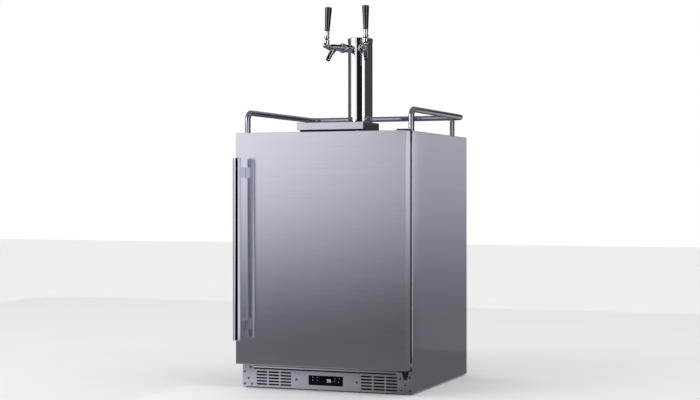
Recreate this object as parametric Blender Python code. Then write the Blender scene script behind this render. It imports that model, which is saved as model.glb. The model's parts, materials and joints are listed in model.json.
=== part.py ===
"""A free-standing kegerator: an insulated steel cabinet with a hinged door, a guard rail,
a drip tray and a two-tap tower on top, and the cooling and dispensing gear inside it.

Metres, +Z up. The front faces -Y. The origin lies on the floor under the middle of the object.
"""

import math

import bmesh
import bpy
from mathutils import Matrix, Vector

# Clearances and common stock
SEAT = 0.0003             # gap left between two pieces that touch
RUN = 0.0006              # gap round a piece that turns or slides
OVERRUN = 0.004           # how far a cutter passes the face it cuts
SHEET = 0.0012            # outer steel sheet

# Cabinet body
WIDTH = 0.600
DEPTH = 0.600             # from the kick plate's face to the back
BODY_HEIGHT = 0.844
FOOT_SHOW = 0.004         # floor to the underside, with the feet screwed right in
SIDE_BEND = 0.0026        # round of a side panel's front edge, outside
SIDE_RETURN = 0.022       # front edge of a side panel, turned inwards
LINER_WALL = 0.002
SIDE_INSET = 0.045        # inside wall in from the cabinet's side
FLOOR_FOAM = 0.040
CEILING_FOAM = 0.038
BACK_FOAM = 0.039
FOAM_BASE_H = 0.081       # foam's underside above the body's underside

# Machine compartment, rear bottom
MACHINE_DEPTH = 0.147
MACHINE_HEIGHT = 0.211    # above the body's underside
HUMP_FOAM = 0.033         # foam over it
HUMP_FRONT_FOAM = 0.0287  # foam in front of it
PAN_SHEET = 0.0015
PAN_WALL_H = 0.015
BACK_SLOT_W = 0.110
BACK_SLOT_H = 0.006
BACK_SLOT_PITCH = 0.016
BACK_SLOT_ROWS = 7
BACK_SLOT_INSET = 0.150   # middle of each group of slots in from the cabinet's side
BACK_SLOT_LOW = 0.060

# Door
DOOR_GAP = 0.012          # filled by the gasket
DOOR_THICK = 0.042
DOOR_BOTTOM_H = 0.079     # above the body's underside
DOOR_SHEET = 0.0010
DOOR_RIGHT_INSET = 0.0025
DOOR_LINER = 0.0025
DOOR_DIKE_INSET = 0.062
DOOR_DIKE_H = 0.005
GASKET_INSET = 0.016
GASKET_W = 0.020
EDGE_ROUND = 0.0015
AXIS_INSET = 0.014        # hinge axis in from the door's right side
AXIS_BEHIND_FACE = 0.025  # and behind the door's face
HINGE_PIN_R = 0.0040
HINGE_PIN_REACH = 0.016
HINGE_PLATE = 0.0045
HINGE_PLATE_W = 0.036
HINGE_PLATE_SIDE = 0.0015  # plate's edge in from the cabinet's side
HINGE_PLATE_FRONT = 0.009  # plate's edge behind the door's face
HINGE_LEG_H = 0.033
HINGE_LEG_W = 0.0135
GUSSET_DROP = 0.034
GUSSET_FOOT_W = 0.008
GUSSET_SIDE = 0.010

# Door handle
HANDLE_R = 0.0135
HANDLE_STANDOFF = 0.055   # door face to the bar's axis
HANDLE_LENGTH = 0.597
HANDLE_INSET = 0.0315     # bar's axis in from the door's left side
HANDLE_POST_W = 0.010
HANDLE_POST_H = 0.034
HANDLE_POST_FROM_END = 0.047

# Kick plate, measured from the body's underside
KICK_EAR_LEFT = 0.025
KICK_EAR_RIGHT = 0.042
KICK_NOTCH_H = 0.059
KICK_NOTCH_R = 0.007
KICK_CORNER = 0.005
VENT_INSET = 0.0510       # outer end of the outermost slots in from the cabinet's side
VENT_COLUMNS = 3
VENT_COLUMN_PITCH = 0.0435
VENT_SLOT_W = 0.0390
VENT_SLOT_H = 0.0052
VENT_ROW_LOW = 0.0095
VENT_PITCH = 0.0102
VENT_ROWS = 5
END_ARC_STEPS = 4
DISPLAY_W = 0.121
DISPLAY_H = 0.0313
DISPLAY_LOW = 0.0144
DISPLAY_PROUD = 0.0005
DISPLAY_GLASS = 0.0030
HOUSING_MARGIN = 0.005
HOUSING_DEPTH = 0.032
CROSSBAR_LOW = 0.0525     # crossbar's lower edge above the body's underside
CROSSBAR_DEPTH = 0.030
CROSSBAR_SHEET = 0.0015

# Levelling feet
FOOT_PAD_R = 0.017
FOOT_STUD_R = 0.004
FOOT_STUD_LENGTH = 0.030
FOOT_INSET_SIDE = 0.040
FOOT_INSET_FRONT = 0.050
FOOT_INSET_BACK = 0.045

# Guard rail, measured from the cabinet's top and front
RAIL_R = 0.0095
RAIL_INSET_X = 0.010      # rail's axis in from the cabinet's side
RAIL_FRONT_Y = 0.020
RAIL_BACK_INSET = 0.013
RAIL_HEIGHT = 0.071
RAIL_FRONT_BEND = 0.026
RAIL_CORNER = 0.038
RAIL_REAR_POST_INSET = 0.050   # post's axis in from the cabinet's side
RAIL_REAR_POST_R = 0.0085
BEND_STEPS = 5

# Drip tray, measured from the cabinet's top and front
TRAY_HALF_W = 0.118
TRAY_FRONT = 0.037
TRAY_DEPTH = 0.152
TRAY_LIFT = 0.010
TRAY_HEIGHT = 0.025
TRAY_WALL = 0.0015
TRAY_EDGE = 0.0010
TRAY_PLINTH_INSET = 0.008
GRILLE_SHEET = 0.0012
GRILLE_DROP = 0.0010      # grille's face below the tray's rim
GRILLE_SLOT_W = 0.062
GRILLE_SLOT_H = 0.006
GRILLE_SLOT_ROWS = 9
GRILLE_SLOT_PITCH_Y = 0.014
GRILLE_SLOT_PITCH_X = 0.074
GRILLE_SLOT_COLUMNS = 3

# Tower
TOWER_Y = 0.320           # column's axis behind the cabinet's front
TOWER_R = 0.0425
TOWER_WALL = 0.002
TOWER_HEIGHT = 0.338      # cabinet's top to the cap's top
CAP_HEIGHT = 0.014
CAP_OVERHANG = 0.0008
CAP_ROUND = 0.003
CAP_PLUG = 0.005
FLANGE_R = 0.058
FLANGE_T = 0.006
TOP_HOLE_R = 0.030

# Taps, measured along each tap's own direction out from the column's axis
TAP_ANGLE_DEG = 28.0      # each side of straight ahead
TAP_BELOW_CAP = 0.0385
SHANK_R = 0.0095
SHANK_COLLAR_R = 0.0135
SHANK_COLLAR_END = 0.0725
SHANK_NECK_R = 0.0112      # inside the coupling nut
SHANK_INNER = 0.024       # elbow's axis
SHANK_END = 0.076
SHANK_NUT_R = 0.0135
SHANK_NUT_AT = 0.0300
SHANK_NUT_T = 0.0070
SHANK_BORE_R = 0.0066
SHANK_FLOW_R = 0.0030
SHANK_BORE_START = 0.050
ELBOW_R = 0.0070
BARB_R = 0.0046
BARB_DROP = 0.024
NUT_R = 0.0166
NUT_START = 0.0735
NUT_END = 0.0890
NUT_LOBES = 10
NUT_GROOVE = 0.0014
BODY_FLANGE_R = 0.0136
BODY_FLANGE_T = 0.0075
BODY_BACK_R = 0.0114
BODY_FRONT_R = 0.0106
BODY_FRONT_AT = 0.130
BODY_TIP_R = 0.0070
BODY_TIP_AT = 0.1355
LIMB_AT = 0.130            # limb from the body's underside up to the head
LIMB_RISE = -0.004
LIMB_R = 0.0105
HEAD_AT = 0.1585
HEAD_R = 0.0086
HEAD_RISE = 0.0044
LEVER_AT = 0.152
PIVOT_RISE = 0.0215
NECK_R = 0.0096
NECK_FOOT_RISE = -0.0020
NECK_TOP_BELOW_PIVOT = 0.0050
SPOUT_TOP_AT = 0.121
SPOUT_TOP_RISE = -0.002
SPOUT_TIP_AT = 0.1485
SPOUT_TIP_RISE = -0.0457
SPOUT_TOP_R = 0.0088
SPOUT_TIP_R = 0.0074
SPOUT_BORE_R = 0.0058
SPOUT_BORE_DEPTH = 0.018
VALVE_BORE_R = 0.0042
SHAFT_R = 0.0034
SHAFT_BACK_AT = 0.060
SHAFT_FRONT_AT = 0.1565
SHAFT_SEAL_R = 0.0058
SHAFT_SEAL_T = 0.004
SHAFT_SLOT_HALF = 0.0037
SHAFT_SLOT_DEPTH = 0.0048
BALL_R = 0.0075
BALL_SOCKET_GAP = 0.0004
CHAMBER_R = 0.0091         # room under the ball for the finger's swing
CHAMBER_FLOOR = 0.0002
CHAMBER_TOP = 0.0120
FINGER_R = 0.0018
FINGER_REACH = 0.0207
BONNET_R = 0.0098
BONNET_BELOW = 0.0058
BONNET_ABOVE = 0.0030
BONNET_MOUTH_R = 0.0074
TAP_LEVER_LEAN_DEG = 4.0  # back from upright, when the tap is shut
STEM_R = 0.0030
COLLAR_FROM = 0.0065
COLLAR_TO = 0.0140
COLLAR_R = 0.0092
FERRULE_TO = 0.0320
FERRULE_R = 0.0080
HANDLE_TO = 0.1138
TAP_HANDLE_LOW_R = 0.0086
TAP_HANDLE_TOP_R = 0.0122
TAP_HANDLE_ROUND = 0.0030

# Inside the cabinet
FLOOR_PLATE_T = 0.0015
FLOOR_PLATE_INSET = 0.010
CYLINDER_R = 0.0555
CYLINDER_INSET = 0.120    # axis in from the cabinet's left side
CYLINDER_BODY_H = 0.300
CYLINDER_SHOULDER = 0.045
CYLINDER_NECK_R = 0.014
CYLINDER_FROM_WALL = 0.002
VALVE_BLOCK_W = 0.022
VALVE_BLOCK_H = 0.042
VALVE_STEM_R = 0.004
VALVE_STEM_H = 0.012
WHEEL_R = 0.018
WHEEL_T = 0.008
WHEEL_LOBES = 6
WHEEL_GROOVE = 0.002
REG_BODY_R = 0.024
REG_BODY_H = 0.034
REG_NIPPLE_R = 0.008
REG_ARM = 0.024
GAUGE_R = 0.021
GAUGE_T = 0.020
GAUGE_STALK_R = 0.005
GAUGE_STALK = 0.008
OUTLET_R = 0.0045
OUTLET_L = 0.012
OUTLET_SPREAD = 0.011
OUTLET_ASIDE = 0.008      # outlets' middle beyond the regulator's axis
KNOB_R = 0.014
KNOB_H = 0.020
KNOB_SCREW_R = 0.004
COUPLER_INSET = 0.150     # right coupler's axis in from the cabinet's right side
COUPLER_SPACING = 0.105
COUPLER_FROM_HUMP = 0.062
COUPLER_BASE_R = 0.0240
COUPLER_BASE_H = 0.014
COUPLER_BODY_R = 0.0165
COUPLER_BODY_H = 0.078
COUPLER_NECK_R = 0.0085
COUPLER_NECK_H = 0.030
COUPLER_PIVOT_H = 0.050
COUPLER_PIN_R = 0.0030
COUPLER_PIN_REACH = 0.0215
INLET_R = 0.0050
INLET_L = 0.030
INLET_H = 0.030
CHEEK_T = 0.003
CHEEK_HALF = 0.0065
LEVER_RADIUS = 0.030      # pivot to the bridge in front of the neck
LEVER_GRIP_L = 0.058
LEVER_GRIP_R = 0.0065
LEVER_REST_DEG = 62.0
HOSE_R = 0.0048
GAS_HOSE_R = 0.0040
GAS_LINE_SWING = 0.021    # how far the gas hoses swing back behind the inlets
HOSE_SPAN_STEPS = 4
EVAP_FROM_CYLINDER = 0.0545   # cover's left side from the gas cylinder
EVAP_FROM_SIDE = 0.065    # cover's right side from the inside wall
EVAP_LOW = 0.500
EVAP_HEIGHT = 0.250
EVAP_DEPTH = 0.036
EVAP_WALL = 0.002
EVAP_HOLE_R = 0.050
EVAP_FAN_DROP = 0.085     # fan's axis below the cover's top
EVAP_HUB_R = 0.016
EVAP_SPOKE_W = 0.005
EVAP_SLOT_INSET = 0.055   # slots' ends in from the cover's sides
EVAP_SLOT_H = 0.008
EVAP_SLOT_PITCH = 0.018
EVAP_SLOTS = 4
EVAP_SLOT_LOW = 0.022
FAN_R = 0.045
FAN_HUB_R = 0.014
FAN_DEPTH = 0.014
FAN_BLADES = 5
BLADE_T = 0.0016
BLADE_W_SHARE = 0.62      # blade's width as a share of its radius
BLADE_PITCH_DEG = 32.0
FAN_SPINDLE_R = 0.003

# Machine compartment contents
CAN_R = 0.058
CAN_H = 0.150
CAN_DOME = 0.045
CAN_BASE_SHARE = 0.80     # can's flat base as a share of its radius
CAN_INSET = 0.150         # axis in from the cabinet's left side
CAN_PLATE_W = 0.170
CAN_PLATE_D = 0.104
CAN_PLATE_T = 0.004
CAN_FOOT_R = 0.010
CAN_FOOT_H = 0.014
COOLER_INSET = 0.095      # condenser's middle in from the cabinet's right side
COOLER_W = 0.046
COOLER_D = 0.120
COOLER_H = 0.150
COOLER_FINS = 12
COOLER_FIN_SHARE = 0.45   # fin's share of the fin pitch
COOLER_CORE_SHARE = 0.30  # core's share of the width
SHROUD_FROM_COOLER = 0.085   # between their middles
SHROUD_SIDE = 0.128
SHROUD_T = 0.020
SHROUD_HOLE_R = 0.056
SHROUD_HUB_R = 0.018
SHROUD_SPOKE_W = 0.007
SHROUD_SPOKE_T = 0.006
COOLER_FAN_R = 0.051
COOLER_FAN_HUB_R = 0.016
COOLER_FAN_DEPTH = 0.016
INLET_SOCKET_X = 0.000
SOCKET_W = 0.048
SOCKET_H = 0.028
SOCKET_DEPTH = 0.024
SOCKET_WALL = 0.003
SOCKET_Z = 0.035

# Facets
ROUND_STEPS = 20
FINE_STEPS = 40
HEX = 6
SMALL_STEPS = 12
SMOOTH_DEG = 40.0

# Places worked out from the sizes above
HALF = WIDTH / 2
REACH = DOOR_GAP + DOOR_THICK + HANDLE_STANDOFF + HANDLE_R
FRONT = (DEPTH + REACH) / 2 - DEPTH
BACK = FRONT + DEPTH
LOW = FOOT_SHOW
TOP = LOW + BODY_HEIGHT
TOP_UNDER = TOP - SHEET
SHELL_FRONT = FRONT + SHEET + SEAT
BETWEEN = HALF - SHEET - SEAT              # half the width between the side panels
LINER_HALF = HALF - SIDE_INSET             # half the inside width
BACK_SLOT_X = HALF - BACK_SLOT_INSET
RAIL_REAR_POST_X = HALF - RAIL_REAR_POST_INSET
CYLINDER_X = CYLINDER_INSET - HALF
COUPLER_XS = (HALF - COUPLER_INSET - COUPLER_SPACING, HALF - COUPLER_INSET)
EVAP_LEFT = CYLINDER_X + CYLINDER_R + EVAP_FROM_CYLINDER
EVAP_RIGHT = LINER_HALF - EVAP_FROM_SIDE
EVAP_X = (EVAP_LEFT + EVAP_RIGHT) / 2
CAN_X = CAN_INSET - HALF
COOLER_X = HALF - COOLER_INSET
SHROUD_X = COOLER_X - SHROUD_FROM_COOLER
FOAM_LOW = LOW + FOAM_BASE_H
FOAM_FRONT = SHELL_FRONT + LINER_WALL + SEAT
FOAM_BACK = BACK - SHEET - SEAT
FOAM_TOP = TOP_UNDER - SEAT
LINER_FLOOR = FOAM_LOW + FLOOR_FOAM + SEAT + LINER_WALL
LINER_CEILING = FOAM_TOP - CEILING_FOAM - SEAT - LINER_WALL
LINER_BACK = FOAM_BACK - BACK_FOAM - SEAT - LINER_WALL
MACHINE_FRONT = BACK - MACHINE_DEPTH
MACHINE_TOP = LOW + MACHINE_HEIGHT
HUMP_TOP = MACHINE_TOP + HUMP_FOAM + SEAT + LINER_WALL
HUMP_FRONT = MACHINE_FRONT - HUMP_FRONT_FOAM - SEAT - LINER_WALL
DOOR_RIGHT = HALF - DOOR_RIGHT_INSET
DOOR_BACK = FRONT - DOOR_GAP
DOOR_FACE = DOOR_BACK - DOOR_THICK
DOOR_LOW = LOW + DOOR_BOTTOM_H
HINGE_X = HALF - AXIS_INSET
HINGE_Y = DOOR_FACE + AXIS_BEHIND_FACE
PAN_FLOOR = LOW + PAN_SHEET
TOWER_AXIS_Y = FRONT + TOWER_Y
TOWER_FOOT = TOP + SEAT
TOWER_TOP = TOP + TOWER_HEIGHT
COLUMN_TOP = TOWER_TOP - CAP_HEIGHT - SEAT
TAP_Z = TOWER_TOP - TAP_BELOW_CAP
TAP_SIDES = (("left", -1), ("right", 1))
GRIP_X = -HALF + HANDLE_INSET
GRIP_Y = DOOR_FACE - HANDLE_STANDOFF
GRIP_LOW = (DOOR_LOW + TOP - HANDLE_LENGTH) / 2
GRIP_TOP = GRIP_LOW + HANDLE_LENGTH

# Routes of the hoses, as shares of the way between their ends
TOWER_DROP_SHARES = (0.0, 0.143, 0.785)
BEER_LINE_SHARES = (      # across, back and down from under the ceiling to the coupler
    (0.0, 0.0, -0.093),
    (0.0, 0.032, 0.013),
    (0.0, 0.162, 0.067),
    (0.1, 0.378, 0.080),
    (0.6, 0.827, 0.089),
    (1.0, 1.0, 0.190),
    (1.0, 1.0, 0.335),
    (1.0, 1.0, 0.821),
    (1.0, 1.0, 0.933),
    (1.0, 1.0, 1.0),
)
GAS_LINE_SHARES = {       # across, back, swung back and down from the outlet to the inlet
    "left": (
        (0.0, 0.0, 0.0, 0.0),
        (0.0, 0.0, 0.0, 0.118),
        (0.013, 0.0, 0.048, 0.353),
        (0.139, 0.0, 0.381, 0.568),
        (0.475, 0.5, 0.783, 0.780),
        (0.861, 1.0, 0.952, 0.945),
        (0.968, 1.0, 1.0, 0.992),
        (1.0, 1.0, 0.571, 1.0),
        (1.0, 1.0, 0.0, 1.0),
    ),
    "right": (
        (0.0, 0.0, 0.0, 0.0),
        (0.0, 0.0, 0.0, 0.118),
        (0.004, 0.0, 0.095, 0.471),
        (0.038, 0.0, 0.571, 0.843),
        (0.171, 1.0, 1.238, 1.031),
        (0.544, 1.0, 1.476, 1.071),
        (0.829, 1.0, 1.381, 1.055),
        (0.962, 1.0, 1.143, 1.012),
        (1.0, 1.0, 0.619, 1.0),
        (1.0, 1.0, 0.0, 1.0),
    ),
}

# Looks: base colour, metallic, roughness
BRUSHED = ((0.56, 0.58, 0.62), 1.0, 0.34)
SIDE_STEEL = ((0.42, 0.44, 0.49), 0.9, 0.42)
POLISHED = ((0.78, 0.79, 0.81), 1.0, 0.12)
CHROME = ((0.82, 0.83, 0.85), 1.0, 0.06)
GALVANISED = ((0.50, 0.51, 0.52), 0.9, 0.50)
BLACK_STEEL = ((0.02, 0.02, 0.025), 0.4, 0.45)
GLOSS_BLACK = ((0.008, 0.008, 0.010), 0.0, 0.10)
BLACK_PLASTIC = ((0.015, 0.015, 0.018), 0.0, 0.45)
RUBBER = ((0.020, 0.020, 0.022), 0.0, 0.80)
WHITE_PLASTIC = ((0.80, 0.80, 0.79), 0.0, 0.40)
FOAM = ((0.72, 0.62, 0.38), 0.0, 0.90)
ALUMINIUM = ((0.70, 0.71, 0.72), 1.0, 0.38)
BRASS = ((0.72, 0.55, 0.28), 1.0, 0.28)
HOSE_CLEAR = ((0.75, 0.76, 0.76), 0.0, 0.25)
HOSE_RED = ((0.55, 0.04, 0.03), 0.0, 0.35)


# Building blocks


def clear_scene():
    for thing in list(bpy.data.objects):
        bpy.data.objects.remove(thing, do_unlink=True)


def paint(thing, look):
    colour, metallic, roughness = look
    finish = bpy.data.materials.new(thing.name)
    finish.use_nodes = True
    shader = finish.node_tree.nodes["Principled BSDF"]
    shader.inputs["Base Color"].default_value = (*colour, 1.0)
    shader.inputs["Metallic"].default_value = metallic
    shader.inputs["Roughness"].default_value = roughness
    thing.data.materials.append(finish)


def finish_piece(name, shape, look=None, smooth=True):
    """Turn a bmesh into a named object; without a look it is a hidden cutter."""
    bmesh.ops.recalc_face_normals(shape, faces=shape.faces[:])
    mesh = bpy.data.meshes.new(name)
    shape.to_mesh(mesh)
    shape.free()
    if smooth:
        mesh.shade_smooth()
        mesh.set_sharp_from_angle(angle=math.radians(SMOOTH_DEG))
    thing = bpy.data.objects.new(name, mesh)
    bpy.context.scene.collection.objects.link(thing)
    if look is None:
        thing.hide_render = True
        thing.display_type = "WIRE"
    else:
        paint(thing, look)
    return thing


def add_prism(shape, outline, start, end, axis):
    """Extrude an outline along an axis; its points lie in the other two axes, in order."""
    def place(pair, along):
        one, two = pair
        if axis == "x":
            return (along, one, two)
        if axis == "y":
            return (one, along, two)
        return (one, two, along)

    first = [shape.verts.new(place(pair, start)) for pair in outline]
    last = [shape.verts.new(place(pair, end)) for pair in outline]
    shape.faces.new(first)
    shape.faces.new(last[::-1])
    count = len(outline)
    for i in range(count):
        j = (i + 1) % count
        shape.faces.new((first[i], last[i], last[j], first[j]))


def add_box(shape, low, high):
    outline = ((low[0], low[1]), (high[0], low[1]), (high[0], high[1]), (low[0], high[1]))
    add_prism(shape, outline, low[2], high[2], "z")


def add_turned(shape, profile, steps=ROUND_STEPS, frame=None):
    """Turn a profile of (radius, height) points about Z. It closes on itself, or on the axis."""
    frame = frame or Matrix.Identity(4)
    rings = []
    for radius, height in profile:
        if radius <= 0:
            rings.append([shape.verts.new(frame @ Vector((0, 0, height)))])
            continue
        ring = []
        for i in range(steps):
            turn = 2 * math.pi * i / steps
            spot = Vector((radius * math.cos(turn), radius * math.sin(turn), height))
            ring.append(shape.verts.new(frame @ spot))
        rings.append(ring)
    on_axis = len(rings[0]) == 1
    pairs = list(zip(rings, rings[1:]))
    if not on_axis:
        pairs.append((rings[-1], rings[0]))
    for one, two in pairs:
        for i in range(steps):
            j = (i + 1) % steps
            if len(one) == 1:
                shape.faces.new((one[0], two[i], two[j]))
            elif len(two) == 1:
                shape.faces.new((one[i], two[0], one[j]))
            else:
                shape.faces.new((one[i], two[i], two[j], one[j]))


def add_peg(shape, start, end, radius, steps=ROUND_STEPS, end_radius=None):
    """A solid round bar between two points, tapered when it has an end radius."""
    start, end = Vector(start), Vector(end)
    length = (end - start).length
    far = radius if end_radius is None else end_radius
    frame = aim(start, end - start)
    add_turned(shape, ((0, 0), (radius, 0), (far, length), (0, length)), steps, frame)


def add_ball(shape, centre, radius, steps=ROUND_STEPS):
    rows = steps // 2
    profile = []
    for i in range(rows + 1):
        tilt = math.pi * i / rows
        around = radius * math.sin(tilt) if 0 < i < rows else 0
        profile.append((around, -radius * math.cos(tilt)))
    add_turned(shape, profile, steps, Matrix.Translation(Vector(centre)))


def aim(point, direction):
    """A frame at a point whose Z runs along a direction."""
    turn = Vector(direction).to_track_quat("Z", "Y").to_matrix().to_4x4()
    return Matrix.Translation(Vector(point)) @ turn


def arc(centre, radius, start_deg, end_deg, steps):
    points = []
    for i in range(steps + 1):
        turn = math.radians(start_deg + (end_deg - start_deg) * i / steps)
        points.append((centre[0] + radius * math.cos(turn), centre[1] + radius * math.sin(turn)))
    return points


def slot_outline(middle_x, middle_z, width, height):
    """A slot with round ends."""
    end = height / 2
    reach = width / 2 - end
    right = arc((middle_x + reach, middle_z), end, -90, 90, END_ARC_STEPS)
    left = arc((middle_x - reach, middle_z), end, 90, 270, END_ARC_STEPS)
    return right + left


def combine(thing, tool, operation, solver):
    tool.hide_render = True
    tool.display_type = "WIRE"
    change = thing.modifiers.new(tool.name, "BOOLEAN")
    change.operation = operation
    change.object = tool
    change.solver = solver


def cut(thing, tool, solver="EXACT"):
    combine(thing, tool, "DIFFERENCE", solver)


def fuse(thing, tool, solver="EXACT"):
    combine(thing, tool, "UNION", solver)


def round_edges(thing, width, segments=2):
    bevel = thing.modifiers.new("round", "BEVEL")
    bevel.width = width
    bevel.segments = segments
    bevel.limit_method = "ANGLE"


def hang_on(name, point, things):
    """Put pieces that move together under one empty on their joint's axis."""
    pivot = bpy.data.objects.new(name, None)
    pivot.location = point
    bpy.context.scene.collection.objects.link(pivot)
    for thing in things:
        thing.parent = pivot
        thing.matrix_parent_inverse = Matrix.Translation(-Vector(point))
    return pivot


def add_hose(name, route, radius, look):
    """A hose swept round a smooth curve through its route's points."""
    curve = bpy.data.curves.new(name, "CURVE")
    curve.dimensions = "3D"
    curve.bevel_depth = radius
    curve.bevel_resolution = 2
    curve.use_fill_caps = True
    points = smooth_route(route)
    spline = curve.splines.new("POLY")
    spline.points.add(len(points) - 1)
    for knot, point in zip(spline.points, points):
        knot.co = (*point, 1.0)
    hose = bpy.data.objects.new(name, curve)
    bpy.context.scene.collection.objects.link(hose)
    paint(hose, look)
    return hose


def smooth_route(route):
    """Points along a Catmull-Rom curve through the route."""
    knots = [Vector(point) for point in route]
    knots = [2 * knots[0] - knots[1]] + knots + [2 * knots[-1] - knots[-2]]
    points = []
    for a, b, c, d in zip(knots, knots[1:], knots[2:], knots[3:]):
        for i in range(HOSE_SPAN_STEPS):
            t = i / HOSE_SPAN_STEPS
            bend = (2 * a - 5 * b + 4 * c - d) * t ** 2 + (3 * b - a - 3 * c + d) * t ** 3
            points.append((2 * b + (c - a) * t + bend) / 2)
    points.append(knots[-2])
    return points


# The cabinet


def side_panels():
    for name, side in TAP_SIDES:
        outer = side * HALF
        inner = side * (HALF - SHEET)
        lip = side * (HALF - SIDE_RETURN)
        shape = bmesh.new()
        bend = [
            (side * x, y)
            for x, y in arc((HALF - SIDE_BEND, SHELL_FRONT + SIDE_BEND), SIDE_BEND, -90, 0, BEND_STEPS)
        ]
        outline = (
            *bend,
            (outer, BACK),
            (inner, BACK),
            (inner, SHELL_FRONT + SHEET),
            (lip, SHELL_FRONT + SHEET),
            (lip, SHELL_FRONT),
        )
        add_prism(shape, outline, LOW, TOP_UNDER - SEAT, "z")
        finish_piece("side_panel_" + name, shape, SIDE_STEEL, smooth=False)


def top_panel():
    shape = bmesh.new()
    add_box(shape, (-HALF, SHELL_FRONT, TOP_UNDER), (HALF, BACK, TOP))
    panel = finish_piece("top_panel", shape, BRUSHED, smooth=False)
    cut(panel, line_hole("top_panel_hole"))


def line_hole(name):
    """The round way for the beer lines, from the tower down through the ceiling."""
    shape = bmesh.new()
    low = (0, TOWER_AXIS_Y, LINER_CEILING - OVERRUN)
    high = (0, TOWER_AXIS_Y, TOP + OVERRUN)
    add_peg(shape, low, high, TOP_HOLE_R)
    return finish_piece(name, shape)


def back_panel():
    """One sheet over the whole back, with vents and the socket's opening low down."""
    shape = bmesh.new()
    add_box(shape, (-BETWEEN, BACK - SHEET, LOW), (BETWEEN, BACK, FOAM_TOP))
    panel = finish_piece("back_panel", shape, GALVANISED, smooth=False)
    slots = bmesh.new()
    near = BACK - SHEET - OVERRUN
    far = BACK + OVERRUN
    for side in (-1, 1):
        for row in range(BACK_SLOT_ROWS):
            z = LOW + BACK_SLOT_LOW + row * BACK_SLOT_PITCH
            left = side * BACK_SLOT_X - BACK_SLOT_W / 2
            add_box(slots, (left, near, z), (left + BACK_SLOT_W, far, z + BACK_SLOT_H))
    edge = SOCKET_W / 2 + SEAT
    low_z = LOW + SOCKET_Z - SEAT
    high_z = LOW + SOCKET_Z + SOCKET_H + SEAT
    add_box(slots, (INLET_SOCKET_X - edge, near, low_z), (INLET_SOCKET_X + edge, far, high_z))
    cut(panel, finish_piece("back_panel_openings", slots, smooth=False))


def base_pan():
    """A shallow steel channel, open at the front, that the feet screw into."""
    front = SHELL_FRONT + SHEET + SEAT
    back = BACK - SHEET - SEAT
    shape = bmesh.new()
    outline = (
        (-BETWEEN, LOW),
        (BETWEEN, LOW),
        (BETWEEN, LOW + PAN_WALL_H),
        (BETWEEN - PAN_SHEET, LOW + PAN_WALL_H),
        (BETWEEN - PAN_SHEET, PAN_FLOOR),
        (-BETWEEN + PAN_SHEET, PAN_FLOOR),
        (-BETWEEN + PAN_SHEET, LOW + PAN_WALL_H),
        (-BETWEEN, LOW + PAN_WALL_H),
    )
    add_prism(shape, outline, front, back, "y")
    pan = finish_piece("base_pan", shape, GALVANISED, smooth=False)
    holes = bmesh.new()
    for _, x, y in foot_places():
        add_peg(holes, (x, y, LOW - OVERRUN), (x, y, PAN_FLOOR + OVERRUN), FOOT_STUD_R + RUN, SMALL_STEPS)
    cut(pan, finish_piece("base_pan_holes", holes))


def front_crossbar():
    """The stainless angle under the door opening, seen through the kick plate's notch."""
    low = LOW + CROSSBAR_LOW
    top = FOAM_LOW - SEAT
    back = SHELL_FRONT + CROSSBAR_DEPTH
    between = HALF - SIDE_RETURN - SEAT
    shape = bmesh.new()
    outline = (
        (SHELL_FRONT, low),
        (SHELL_FRONT + CROSSBAR_SHEET, low),
        (SHELL_FRONT + CROSSBAR_SHEET, top - CROSSBAR_SHEET),
        (back, top - CROSSBAR_SHEET),
        (back, top),
        (SHELL_FRONT, top),
    )
    add_prism(shape, outline, -between, between, "x")
    finish_piece("front_crossbar", shape, BRUSHED, smooth=False)


def liner_outline(grow, front):
    """The inside of the cabinet seen from its side, with the hump over the machinery."""
    return (
        (front, LINER_FLOOR - grow),
        (HUMP_FRONT + grow, LINER_FLOOR - grow),
        (HUMP_FRONT + grow, HUMP_TOP - grow),
        (LINER_BACK + grow, HUMP_TOP - grow),
        (LINER_BACK + grow, LINER_CEILING + grow),
        (front, LINER_CEILING + grow),
    )


def cabinet_foam():
    outline = (
        (FOAM_FRONT, FOAM_LOW),
        (MACHINE_FRONT, FOAM_LOW),
        (MACHINE_FRONT, MACHINE_TOP),
        (FOAM_BACK, MACHINE_TOP),
        (FOAM_BACK, FOAM_TOP),
        (FOAM_FRONT, FOAM_TOP),
    )
    shape = bmesh.new()
    add_prism(shape, outline, -BETWEEN, BETWEEN, "x")
    foam = finish_piece("cabinet_foam", shape, FOAM, smooth=False)
    hollow = bmesh.new()
    grow = LINER_WALL + SEAT
    reach = LINER_HALF + grow
    add_prism(hollow, liner_outline(grow, FOAM_FRONT - OVERRUN), -reach, reach, "x")
    cut(foam, finish_piece("cabinet_foam_hollow", hollow, smooth=False))
    cut(foam, line_hole("cabinet_foam_hole"))


def inner_liner():
    """A thin moulded box with a flange that closes the front of the foam."""
    between = HALF - SIDE_RETURN - SEAT
    shape = bmesh.new()
    reach = LINER_HALF + LINER_WALL
    add_prism(shape, liner_outline(LINER_WALL, SHELL_FRONT + LINER_WALL / 2), -reach, reach, "x")
    liner = finish_piece("inner_liner", shape, WHITE_PLASTIC, smooth=False)
    flange = bmesh.new()
    low = (-between, SHELL_FRONT, FOAM_LOW)
    high = (between, SHELL_FRONT + LINER_WALL, FOAM_TOP)
    add_box(flange, low, high)
    fuse(liner, finish_piece("inner_liner_flange", flange, smooth=False))
    hollow = bmesh.new()
    add_prism(hollow, liner_outline(0, SHELL_FRONT - OVERRUN), -LINER_HALF, LINER_HALF, "x")
    cut(liner, finish_piece("inner_liner_hollow", hollow, smooth=False))
    cut(liner, line_hole("inner_liner_hole"))


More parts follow.
